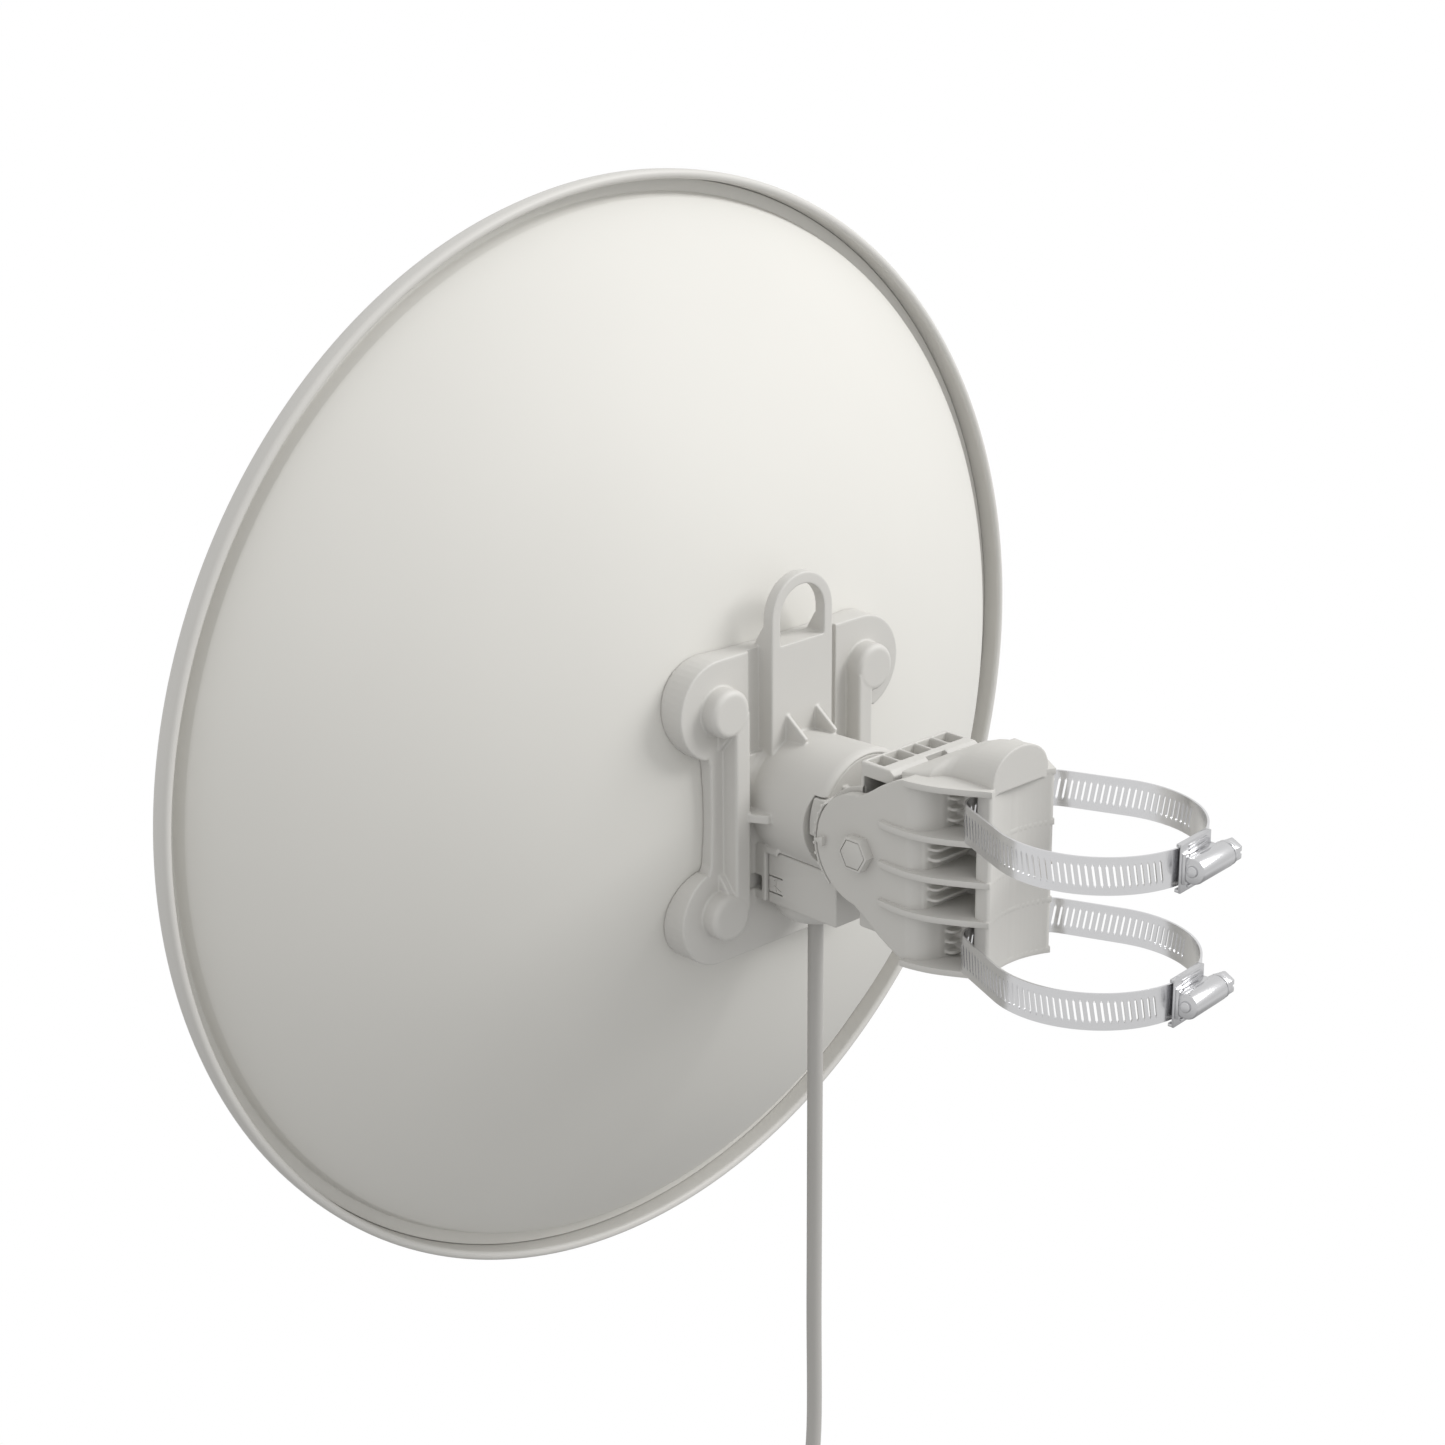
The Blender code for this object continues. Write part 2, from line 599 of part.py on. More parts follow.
def clamp(name, level):
    path = band_path()
    low = level - BAND_HEIGHT / 2
    high = level + BAND_HEIGHT / 2
    outside = prism(offset(path, BAND_THICK / 2), "XY", low, high)
    inside = prism(offset(path, -BAND_THICK / 2), "XY", low - 5, high + 5)
    part(f"{name}_band", STEEL, [outside], [inside])
    a = math.radians(CLAMP_ANGLE)
    turn = Matrix.Rotation(a - math.pi / 2, 3, "Z")

    def place(along, radial, z):
        return turn @ Vector((along, radial, level + z))

    def slab(a0, a1, r0, r1, z0, z1):
        low = Vector((a0, r0, level + z0))
        high = Vector((a1, r1, level + z1))
        return block(low, high, turn)

    shroud = rod(place(7.6, SCREW_RADIAL, 0), place(-10.6, SCREW_RADIAL, 0), 4.2, 24)
    shapes = [slab(-8.4, 8.4, 34.4, 35.4, -8, 8), shroud, slab(-8.0, 7.2, 34.9, 37.6, -3.9, 3.9)]
    for z in (-7.3, 7.3):
        shapes.append(slab(-8.2, 8.2, 33.0, 35.0, z - 0.6, z + 0.6))
    bore = rod(place(20, SCREW_RADIAL, 0), place(-20, SCREW_RADIAL, 0), 3.3, 24)
    part(f"{name}_clamp_housing", STEEL, shapes, [bore])
    pivot = joint_empty(f"{name}_screw_axis", place(0, SCREW_RADIAL, 0))
    thread = rod(place(8.6, SCREW_RADIAL, 0), place(-11.2, SCREW_RADIAL, 0), 3.0, 20)
    collar = rod(place(-10.9, SCREW_RADIAL, 0), place(-12.2, SCREW_RADIAL, 0), 4.1, 20)
    hexagon = rod(place(-12.0, SCREW_RADIAL, 0), place(-15.4, SCREW_RADIAL, 0), 7.0 / math.sqrt(3), 6)
    slot_cut = block((-0.5, -5, -5), (0.5, 5, 5))
    slot_cut.matrix_world = (
        Matrix.Translation(place(-15.9, SCREW_RADIAL, 0) * MM)
        @ turn.to_4x4()
        @ Matrix.Diagonal((2.0, 1.0, 0.09, 1.0))
    )
    part(f"{name}_clamp_screw", STEEL, [hexagon, thread, collar], [slot_cut], pivot)


# ---------------------------------------------------------------- cable

LEAD_SIDE = COIL_MEAN + COIL_LANE / 2
LEAD_ROUTE = [
    (0, CABLE_Y, CABLE_TOP),
    (0, CABLE_Y, -90),
    (0, CABLE_Y, -140),
    (0, CABLE_Y, -195),
    (0, CABLE_Y, -253),
    (4.5, CABLE_Y - 1.1, -270.7),
    (16.9, CABLE_Y - 4.2, -283.5),
    (29.3, CABLE_Y - 7.2, -296.3),
    (LEAD_SIDE, CABLE_Y - 1.5 * COIL_LANE, -314.0),
]


def smooth_route(points, spacing):
    """Points about the given distance apart on a smooth curve through the route's own points."""
    points = [Vector(p) for p in points]
    last = len(points) - 1
    found = []
    for i in range(last):
        a, b, c, d = (points[min(max(i + k, 0), last)] for k in (-1, 0, 1, 2))
        count = max(1, round((c - b).length / spacing))
        for k in range(count):
            t = k / count
            bend = (2 * a - 5 * b + 4 * c - d) * t * t + (3 * b - a - 3 * c + d) * t ** 3
            found.append(0.5 * (2 * b + (c - a) * t + bend))
    return found + [points[-1]]


def lead():
    curve = bpy.data.curves.new("cable_lead", "CURVE")
    curve.dimensions = "3D"
    curve.bevel_depth = CABLE_RADIUS * MM
    curve.bevel_resolution = 2
    curve.use_fill_caps = True
    spline = curve.splines.new("POLY")
    route = smooth_route(LEAD_ROUTE, 4 * CABLE_RADIUS)
    spline.points.add(len(route) - 1)
    for point, place in zip(spline.points, route):
        point.co = (*(place * MM), 1)
    obj = bpy.data.objects.new("cable_lead", curve)
    curve.materials.append(CABLE)
    PARTS.objects.link(obj)
    obj.parent = TILT
    obj.matrix_parent_inverse = TILT.matrix_basis.inverted()


def spare_cable():
    inner = COIL_MEAN - COIL_RADIAL
    outer = COIL_MEAN + COIL_RADIAL
    ring = [(outer, COIL_AXIAL), (outer, -COIL_AXIAL), (inner, -COIL_AXIAL), (inner, COIL_AXIAL)]
    part("cable_coil", CABLE, [turned(ring, "Y", (0, CABLE_Y, COIL_Z), 40, True)], (), TILT)
    wide = COIL_AXIAL + 0.3
    low = Vector((-2.5, CABLE_Y - wide - 1, COIL_Z - outer - 1.3))
    high = Vector((2.5, CABLE_Y + wide + 1, COIL_Z - inner + 1.6))
    hole_low = Vector((-9, CABLE_Y - wide, COIL_Z - outer - 0.3))
    hole_high = Vector((9, CABLE_Y + wide, COIL_Z - inner + 0.5))
    part("coil_tie", RUBBER, [block(low, high)], [block(hole_low, hole_high)], TILT)
    y = CABLE_Y + 1.5 * COIL_LANE
    tail = rod((LEAD_SIDE, y, COIL_Z - 20.2), (LEAD_SIDE, y, COIL_Z - 49.7), CABLE_RADIUS, 12)
    part("cable_tail", CABLE, [tail], (), TILT)
    boot = rod((LEAD_SIDE, y, COIL_Z - 50), (LEAD_SIDE, y, COIL_Z - 61), 3.3, 16, 4.6)
    body = block((LEAD_SIDE - 5.8, y - 4.0, COIL_Z - 82), (LEAD_SIDE + 5.8, y + 4.0, COIL_Z - 60.5))
    part("cable_plug", CLEAR, [body, boot], (), TILT)


DOOR = joint_empty("door_slide", (0, -111, -25))
DOOR.parent = TILT
DOOR.matrix_parent_inverse = TILT.matrix_basis.inverted()
NUT = joint_empty("nut_axis", (-29.5, HINGE_Y, 0))

reflector()
radome()
feed()
rear_housing()
electronics()
cable_bay()
tilt_knuckle()
tilt_fasteners()
pole_bracket()
for label, height in BAND_CENTRES.items():
    clamp(label, height)
lead()
spare_cable()
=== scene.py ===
"""The looks of a mast antenna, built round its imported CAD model.

Shapes are drawn in millimetres and scaled to metres as each piece is finished. +Z is up along the mast,
the dish looks along -Y, and the elevation hinge lies along X.
"""
import math

import bmesh
import bpy
from mathutils import Matrix, Vector


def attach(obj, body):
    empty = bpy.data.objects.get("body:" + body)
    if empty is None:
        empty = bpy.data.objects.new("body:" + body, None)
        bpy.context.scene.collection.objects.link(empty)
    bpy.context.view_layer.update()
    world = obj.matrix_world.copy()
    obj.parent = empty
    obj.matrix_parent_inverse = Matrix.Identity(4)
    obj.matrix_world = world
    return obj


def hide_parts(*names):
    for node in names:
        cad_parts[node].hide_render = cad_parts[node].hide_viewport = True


MM = 0.001
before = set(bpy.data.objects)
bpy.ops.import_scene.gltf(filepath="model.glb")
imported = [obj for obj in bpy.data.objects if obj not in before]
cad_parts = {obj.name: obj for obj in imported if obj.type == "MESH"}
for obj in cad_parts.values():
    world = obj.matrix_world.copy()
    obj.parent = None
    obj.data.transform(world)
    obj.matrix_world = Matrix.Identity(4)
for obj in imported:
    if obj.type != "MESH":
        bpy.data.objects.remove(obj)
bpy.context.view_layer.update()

# ---------------------------------------------------------------- sizes, in millimetres

HINGE_Y = -77.0
POLE_RADIUS = 33.0
SEAT_RADIUS = POLE_RADIUS + 0.35
CHEEK_INNER, CHEEK_OUTER = 20.8, 25.0
CHEEK_NOSE = 19.4
SWING_RADIUS = 31.8         # the bracket keeps clear of the tilting block within it
BOLT_FLATS = 11.0

PLATE_Y = -132.4
BAR_Y = -125.8
LOBE_X, LOBE_Z, LOBE_RADIUS = 34.1, 36.8, 17.4
WAIST_X = 38.2
BOSSES = [(34.2, 36.8), (34.5, -35.6)]
BOSS_RADIUS = 8.3
TAB_HALF = 14.35
TAB_Y = -127.7
LOOP_Z = 63.75
LOOP_HALF = 10.3

DISH_HOLE = 14.0
DISH_EDGE = 190.5
DISH_BACK_Y = -134.1
CHANNEL_Y = -219.2
RADOME_EDGE = 196.0
RADOME_FRONT_Y = -256.0
RADOME_WALL = 2.2
RIM_STEPS = 256             # sides of the dish's and the radome's circles

CABLE_Y = -121.0
CABLE_TOP = -44.5
CABLE_RADIUS = 2.75
BAND_CENTRES = {"upper": 21.3, "lower": -23.1}
BAND_HEIGHT = 12.2
BAND_MIDDLE = 33.7
BAND_THICK = 0.7
BAND_LEAVES_AT = -22.5      # degrees round the mast where the band runs on straight
BAND_FRONT_Y = -37.6
BAND_CORNER = 8.0
SLOT_PITCH = 2.1
SLOT_SLANT = 0.16
CLAMP_ANGLE = 96.5          # degrees round the mast
SCREW_RADIAL = 38.7
SCREW_FLATS = 7.0

COIL_MEAN = 31.0
COIL_LANE = 5.55
COIL_Z = -334.0
COIL_TURNS = 7
COIL_STEPS = 40             # points in a turn
LEAD_SIDE = COIL_MEAN + COIL_LANE / 2
PLUG_DROP = 60.5

SHARP_EDGE = math.radians(34)
CUP_VOXEL, KNUCKLE_VOXEL, CASTING_VOXEL = 0.28, 0.30, 0.34
SOFTENING_ROUNDS = 2
KEPT_FACES = 0.35           # share of the faces that stay once a casting is smooth
COARSE = 1.0

# ---------------------------------------------------------------- camera

CAMERA_AT = (0.671504, 0.536518, 0.365576)
LENS = 74.22
PITCH = math.radians(19.813)
ROLL = math.radians(0.3916)
YAW = math.radians(-43.679)


def make_camera():
    """A camera that looks down at the antenna's back from its right-hand side."""
    level = math.cos(PITCH)
    forward = Vector((math.sin(YAW) * level, -math.cos(YAW) * level, -math.sin(PITCH)))
    right = forward.cross(Vector((0, 0, 1))).normalized()
    down = forward.cross(right)
    across = math.cos(ROLL) * right + math.sin(ROLL) * down
    below = -math.sin(ROLL) * right + math.cos(ROLL) * down
    data = bpy.data.cameras.new("camera")
    data.lens = LENS
    data.sensor_width = 36
    data.clip_start = 0.01
    camera = bpy.data.objects.new("camera", data)
    bpy.context.scene.collection.objects.link(camera)
    turn = Matrix((across, -below, -forward)).transposed().to_4x4()
    camera.matrix_world = Matrix.Translation(CAMERA_AT) @ turn
    bpy.context.scene.camera = camera


# ---------------------------------------------------------------- materials

PLASTIC_COLOUR = (0.560, 0.549, 0.522)
DISH_COLOUR = (0.640, 0.629, 0.594)
BUMP_DEPTH = 0.0001
CLOUD_SCALE = 14.0
GRAIN_SCALE = 2200.0


def shader_material(name, colour, roughness, metallic=0.0, specular=0.5):
    """A plain surface, with its node tree and its shader for what is added to it."""
    made = bpy.data.materials.new(name)
    made.use_nodes = True
    shader = made.node_tree.nodes["Principled BSDF"]
    shader.inputs["Base Color"].default_value = (*colour, 1)
    shader.inputs["Roughness"].default_value = roughness
    shader.inputs["Metallic"].default_value = metallic
    shader.inputs["Specular IOR Level"].default_value = specular
    return made, made.node_tree, shader


def object_noise(tree, scale, detail=3.0, stretch=(1, 1, 1)):
    """A noise value in the object's own coordinates, which are metres."""
    place = tree.nodes.new("ShaderNodeTexCoord")
    mapping = tree.nodes.new("ShaderNodeMapping")
    mapping.inputs["Scale"].default_value = stretch
    noise = tree.nodes.new("ShaderNodeTexNoise")
    noise.inputs["Scale"].default_value = scale
    noise.inputs["Detail"].default_value = detail
    tree.links.new(place.outputs["Object"], mapping.inputs["Vector"])
    tree.links.new(mapping.outputs["Vector"], noise.inputs["Vector"])
    return noise.outputs["Fac"]


def vary_colour(tree, shader, value, dark, light):
    """Blends the base colour between two tints by a noise value."""
    ramp = tree.nodes.new("ShaderNodeValToRGB")
    ramp.color_ramp.elements[0].position = 0.3
    ramp.color_ramp.elements[0].color = (*dark, 1)
    ramp.color_ramp.elements[1].position = 0.7
    ramp.color_ramp.elements[1].color = (*light, 1)
    tree.links.new(value, ramp.inputs["Fac"])
    tree.links.new(ramp.outputs["Color"], shader.inputs["Base Color"])


def add_bump(tree, shader, value, strength):
    bump = tree.nodes.new("ShaderNodeBump")
    bump.inputs["Strength"].default_value = strength
    bump.inputs["Distance"].default_value = BUMP_DEPTH
    tree.links.new(value, bump.inputs["Height"])
    tree.links.new(bump.outputs["Normal"], shader.inputs["Normal"])


def tinted(colour, amount):
    return tuple(c * amount for c in colour)


def grained(name, colour, roughness, grain=0.10, spread=0.02, specular=0.5):
    """Moulded or powder coated surface: one colour with a faint cloud and a fine grain."""
    made, tree, shader = shader_material(name, colour, roughness, specular=specular)
    cloud = object_noise(tree, CLOUD_SCALE)
    vary_colour(tree, shader, cloud, tinted(colour, 1 - spread), tinted(colour, 1 + spread))
    add_bump(tree, shader, object_noise(tree, GRAIN_SCALE, 2.0), grain)
    return made


def make_materials():
    """Every look by its short name."""
    steel, tree, shader = shader_material("stainless_steel", (0.78, 0.78, 0.79), 0.22, 1.0)
    add_bump(tree, shader, object_noise(tree, 900.0, 2.0, (1, 1, 9)), 0.06)
    shiny, tree, shader = shader_material("plated_steel", (0.66, 0.66, 0.67), 0.24, 1.0)
    add_bump(tree, shader, object_noise(tree, 1500.0, 2.0), 0.05)
    clear, tree, shader = shader_material("clear_plug_plastic", (0.80, 0.83, 0.86), 0.12)
    shader.inputs["Transmission Weight"].default_value = 0.75
    shader.inputs["IOR"].default_value = 1.5
    return {
        "plastic": grained("weathered_white_plastic", PLASTIC_COLOUR, 0.52, 0.14),
        "dish": grained("white_painted_sheet", DISH_COLOUR, 0.62, 0.10, 0.01, 0.3),
        "rubber": grained("grey_rubber", (0.12, 0.12, 0.12), 0.7),
        "seal": grained("dark_seal", (0.06, 0.06, 0.06), 0.7),
        "cable": grained("grey_cable_jacket", (0.40, 0.39, 0.37), 0.42, 0.05),
        "steel": steel,
        "plated": shiny,
        "board": grained("green_board", (0.02, 0.12, 0.05), 0.4),
        "clear": clear,
        "white": grained("white_dielectric", (0.8, 0.8, 0.78), 0.4),
        "gold": shader_material("gold_contacts", (0.83, 0.62, 0.25), 0.25, 1.0)[0],
    }


# ---------------------------------------------------------------- shapes

def link(obj):
    bpy.context.scene.collection.objects.link(obj)
    return obj


def from_bmesh(bm, recalculate=True):
    """An object from a mesh being edited, with its faces turned outward unless told to leave them."""
    if recalculate:
        bmesh.ops.recalc_face_normals(bm, faces=bm.faces)
    mesh = bpy.data.meshes.new("shape")
    bm.to_mesh(mesh)
    bm.free()
    return link(bpy.data.objects.new("shape", mesh))


def chamfer(bm, size, segments=2, chosen=None):
    """Rounds the sharp edges of a shape, or only those that chosen accepts."""
    if size <= 0:
        return
    edges = [e for e in bm.edges if e.is_manifold and e.calc_face_angle(0) > SHARP_EDGE]
    if chosen:
        edges = [e for e in edges if chosen(e)]
    if edges:
        bmesh.ops.bevel(
            bm,
            geom=edges,
            offset=size,
            segments=segments,
            profile=0.5,
            affect="EDGES",
            clamp_overlap=True,
        )


def span(side, near, far):
    """Two distances from the middle plane as an ordered pair, on the right (1) or the left (-1)."""
    return sorted((side * near, side * far))


def hexagon(flats):
    """The radius of a hexagon's corners from its width across flats."""
    return flats / math.sqrt(3)


def block(low, high, soft=0.0, turn=None, about=(0, 0, 0), segments=2):
    """A box between two corners, with softened edges, turned about a point."""
    low = Vector(low)
    high = Vector(high)
    bm = bmesh.new()
    bmesh.ops.create_cube(bm, size=1.0)
    for v in bm.verts:
        v.co = Vector(c * s for c, s in zip(v.co, high - low)) + (high + low) / 2
    chamfer(bm, soft, segments)
    if turn:
        for v in bm.verts:
            v.co = turn @ (v.co - Vector(about)) + Vector(about)
    return from_bmesh(bm)


def rod(start, end, radius, sides=48, end_radius=None, soft=0.0, spin=0.0, segments=3):
    """A cylinder or a cone between two points, or a prism where it has few sides."""
    start = Vector(start)
    end = Vector(end)
    along = end - start
    bm = bmesh.new()
    bmesh.ops.create_cone(
        bm,
        cap_ends=True,
        segments=sides,
        radius1=radius,
        radius2=radius if end_radius is None else end_radius,
        depth=along.length,
        matrix=Matrix.Rotation(spin, 4, "Z"),
    )
    chamfer(bm, soft, segments)
    turn = along.to_track_quat("Z", "Y").to_matrix().to_4x4()
    bm.transform(Matrix.Translation((start + end) / 2) @ turn)
    return from_bmesh(bm)


def hinge_rod(start_x, end_x, radius, sides, **more):
    """A rod along the elevation hinge."""
    return rod((start_x, HINGE_Y, 0), (end_x, HINGE_Y, 0), radius, sides, **more)


def place_in(plane, a, b, c):
    """A point from two coordinates in a plane and one across it."""
    return {"YZ": (c, a, b), "XZ": (a, c, b), "XY": (a, b, c)}[plane]


def prism(outline, plane, low, high, soft=0.0, segments=2, only=None):
    """A flat outline carried between two places on the third axis; only names the end that is softened."""
    bm = bmesh.new()
    near = [bm.verts.new(place_in(plane, a, b, low)) for a, b in outline]
    far = [bm.verts.new(place_in(plane, a, b, high)) for a, b in outline]
    bm.faces.new(near)
    bm.faces.new(far)
    for i in range(len(near)):
        j = (i + 1) % len(near)
        bm.faces.new((near[i], near[j], far[j], far[i]))
    bmesh.ops.recalc_face_normals(bm, faces=bm.faces)
    axis = {"YZ": 0, "XZ": 1, "XY": 2}[plane]
    if only is None:
        chamfer(bm, soft, segments)
    else:
        level = high if only == "high" else low
        chamfer(bm, soft, segments, lambda e: all(abs(v.co[axis] - level) < 1e-4 for v in e.verts))
    return from_bmesh(bm)


def loft(rings):
    """A closed shape through rings of the same number of points."""
    bm = bmesh.new()
    rows = [[bm.verts.new(p) for p in ring] for ring in rings]
    for near, far in zip(rows, rows[1:]):
        for i in range(len(near)):
            j = (i + 1) % len(near)
            bm.faces.new((near[i], near[j], far[j], far[i]))
    bm.faces.new(rows[0])
    bm.faces.new(rows[-1])
    return from_bmesh(bm)


def turned(profile, steps, axis="Y", centre=(0, 0, 0), ring=False):
    """Points of (radius, height) turned about an axis; ring also joins the last point to the first."""
    bm = bmesh.new()
    columns = []
    for i in range(steps):
        a = 2 * math.pi * i / steps
        columns.append([bm.verts.new((r * math.cos(a), r * math.sin(a), h)) for r, h in profile])
    for i, column in enumerate(columns):
        after = columns[(i + 1) % steps]
        pairs = list(range(len(profile) - 1)) + ([len(profile) - 1] if ring else [])
        for k in pairs:
            n = (k + 1) % len(profile)
            corners = [column[k], after[k], after[n], column[n]]
            if profile[k][0] == 0:
                corners = [column[k], after[n], column[n]]
            elif profile[n][0] == 0:
                corners = [column[k], after[k], column[n]]
            bm.faces.new(corners)
    bmesh.ops.remove_doubles(bm, verts=bm.verts, dist=1e-5)
    turn = Matrix.Rotation(-math.pi / 2, 4, "X") if axis == "Y" else Matrix.Identity(4)
    bm.transform(Matrix.Translation(Vector(centre)) @ turn)
    return from_bmesh(bm)


def arc(cx, cy, radius, start, end, count):
    """Points along part of a circle, between two angles in degrees."""
    angles = [math.radians(start + (end - start) * i / count) for i in range(count + 1)]
    return [(cx + radius * math.cos(a), cy + radius * math.sin(a)) for a in angles]


def mirrored(points):
    """A right half outline with its left half added."""
    return points + [(-x, y) for x, y in reversed(points)]


def smooth_curve(points, count):
    """Points on a Catmull-Rom curve through the given ones."""
    points = [Vector(p) for p in points]
    spans = len(points) - 1
    found = []
    for i in range(spans):
        a, b, c, d = (points[min(max(i + k, 0), spans)] for k in (-1, 0, 1, 2))
        for k in range(count):
            t = k / count
            found.append(0.5 * (2 * b + (c - a) * t + (2 * a - 5 * b + 4 * c - d) * t * t
                                + (3 * b - a - 3 * c + d) * t ** 3))
    return found + [points[-1]]


def smooth_outline(points, count):
    """The same for an outline's flat points."""
    return [(p.x, p.y) for p in smooth_curve([(*p, 0) for p in points], count)]


def joined(shapes):
    """Several closed shapes as one mesh; whatever overlaps stays."""
    bm = bmesh.new()
    for shape in shapes:
        bm.from_mesh(shape.data)
        bpy.data.objects.remove(shape, do_unlink=True)
    return from_bmesh(bm, recalculate=False)


def applied(obj):
    """The object with its modifiers made real."""
    bpy.context.view_layer.update()
    graph = bpy.context.evaluated_depsgraph_get()
    mesh = bpy.data.meshes.new_from_object(obj.evaluated_get(graph))
    obj.modifiers.clear()
    obj.data = mesh
    return obj


def carved(base, cutters):
    """A shape with others taken out of it."""
    cutter = joined(cutters)
    step = base.modifiers.new("cut", "BOOLEAN")
    step.operation = "DIFFERENCE"
    step.solver = "EXACT"
    step.use_self = True
    step.object = cutter
    applied(base)
    bpy.data.objects.remove(cutter, do_unlink=True)
    return base


def moulded(shapes, cutters, voxel):
    """Shapes melted into one casting with small fillets everywhere, as a moulded part has."""
    body = carved(joined(shapes), cutters)
    remesh = body.modifiers.new("melt", "REMESH")
    remesh.mode = "VOXEL"
    remesh.voxel_size = voxel * COARSE
    remesh.use_smooth_shade = True
    smooth = body.modifiers.new("soften", "SMOOTH")
    smooth.factor = 0.5
    smooth.iterations = SOFTENING_ROUNDS
    applied(body)
    thin = body.modifiers.new("lighten", "DECIMATE")
    thin.ratio = KEPT_FACES
    return applied(body)


def finished(obj, name, look, body, replaces, angle=35):
    """Scales a shape to metres, gives it its look and hangs it on its CAD body.

    Edges sharper than the angle, in degrees, stay crisp; 0 leaves the whole shape smooth.
    """
    obj.name = name
    obj.data.transform(Matrix.Scale(MM, 4))
    obj.data.materials.clear()
    obj.data.materials.append(look)
    obj.data.shade_smooth()
    if angle:
        obj.data.set_sharp_from_angle(angle=math.radians(angle))
    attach(obj, body)
    for node in replaces:
        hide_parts(node)
    return obj


# ---------------------------------------------------------------- dish

def dish_rear(r):
    """The y of the dish's back at a radius: nearly a parabola, a little steeper toward the edge."""
    return DISH_BACK_Y - 0.00201 * r * r - 5.94e-9 * r ** 4


def make_reflector(looks):
    """The pressed dish: beyond its edge the metal drops into the channel that the radome's lip closes."""
    count = 44
    radii = [DISH_HOLE + (DISH_EDGE - 0.9 - DISH_HOLE) * i / count for i in range(count + 1)]
    rear = [(r, dish_rear(r)) for r in radii]
    rear += [
        (DISH_EDGE - 0.3, dish_rear(DISH_EDGE - 0.3) - 0.03),
        (DISH_EDGE + 0.1, dish_rear(DISH_EDGE) - 0.3),
        (DISH_EDGE + 0.9, CHANNEL_Y + 0.6),
        (DISH_EDGE + 1.5, CHANNEL_Y),
    ]
    edge = [
        (196.3, CHANNEL_Y),
        (196.5, CHANNEL_Y - 0.3),
        (196.3, CHANNEL_Y - 0.9),
        (DISH_EDGE + 0.6, CHANNEL_Y - 0.9),
    ]
    front = [(r - 0.35, dish_rear(r) - 0.93) for r in radii]
    front[0] = (DISH_HOLE, front[0][1])
    body = turned(rear + edge + front[::-1], RIM_STEPS, ring=True)
    finished(body, "reflector_skin", looks["dish"], "head", ["reflector"])
    inner, outer = 193.1, 195.1
    top, bottom = CHANNEL_Y - 1.1, CHANNEL_Y - 2.1
    seal = turned([(inner, top), (outer, top), (outer, bottom), (inner, bottom)], RIM_STEPS, ring=True)
    finished(seal, "rim_gasket", looks["seal"], "head", ["rim_seal"])


def make_radome(looks):
    """The shallow front dome, with the rounded lip that stands up behind the dish's rim."""
    rise = CHANNEL_Y - 3.0 - RADOME_FRONT_Y
    radius = (RADOME_EDGE * RADOME_EDGE + rise * rise) / (2 * rise)

    def cap(r, crown, size):
        return crown + size - math.sqrt(size * size - r * r)

    outer_steps, inner_steps, inner_edge = 28, 20, 188
    outer = [RADOME_EDGE * i / outer_steps for i in range(outer_steps + 1)]
    outer = [(r, cap(r, RADOME_FRONT_Y, radius)) for r in outer]
    outer += [(197.6, CHANNEL_Y - 2.1), (198.9, CHANNEL_Y - 0.6), (199.7, CHANNEL_Y + 1.4), (199.95, -215.4)]
    lip = arc(198.35, -213.3, 1.65, -8, 180, 14)
    ledge = CHANNEL_Y - 1.0
    floor = CHANNEL_Y - 2.2
    groove = [(196.7, ledge), (195.2, ledge), (195.2, floor), (193.0, floor), (193.0, ledge), (191.4, ledge)]
    inner = [inner_edge * (1 - i / inner_steps) for i in range(inner_steps + 1)]
    inner = [(r, cap(r, RADOME_FRONT_Y + RADOME_WALL, radius - RADOME_WALL)) for r in inner]
    body = turned(outer + lip + groove + inner, RIM_STEPS)
    finished(body, "radome_shell", looks["plastic"], "head", ["radome"])


# ---------------------------------------------------------------- rear housing

def plate_outline():
    """Four round lobes, with a slight waist between the upper and the lower ones."""
    meet = math.degrees(math.acos((WAIST_X - LOBE_X) / LOBE_RADIUS)) - 6
    neck = LOBE_Z - LOBE_RADIUS
    right = arc(LOBE_X, LOBE_Z, LOBE_RADIUS, 90, -meet, 20)
    right += [(WAIST_X + 0.9, neck + 1.6), (WAIST_X, neck - 1.5), (WAIST_X - 0.3, 0)]
    right += [(WAIST_X, -neck + 1.5), (WAIST_X + 0.9, -neck - 1.6)]
    right += arc(LOBE_X, -LOBE_Z, LOBE_RADIUS, meet, -90, 20)
    return mirrored(right)


def plate_shapes():
    """The plate that lies on the dish, and the grooves taken out of it beside the hoisting tab."""
    shapes = [prism(plate_outline(), "XZ", -150, PLATE_Y, 2.8, 6, "high")]
    grooves = []
    for side in (1, -1):
        low, high = span(side, 14.5, 20.6)
        grooves.append(block((low, PLATE_Y - 1.5, 17.6), (high, -131.0, 60)))
    return shapes, grooves


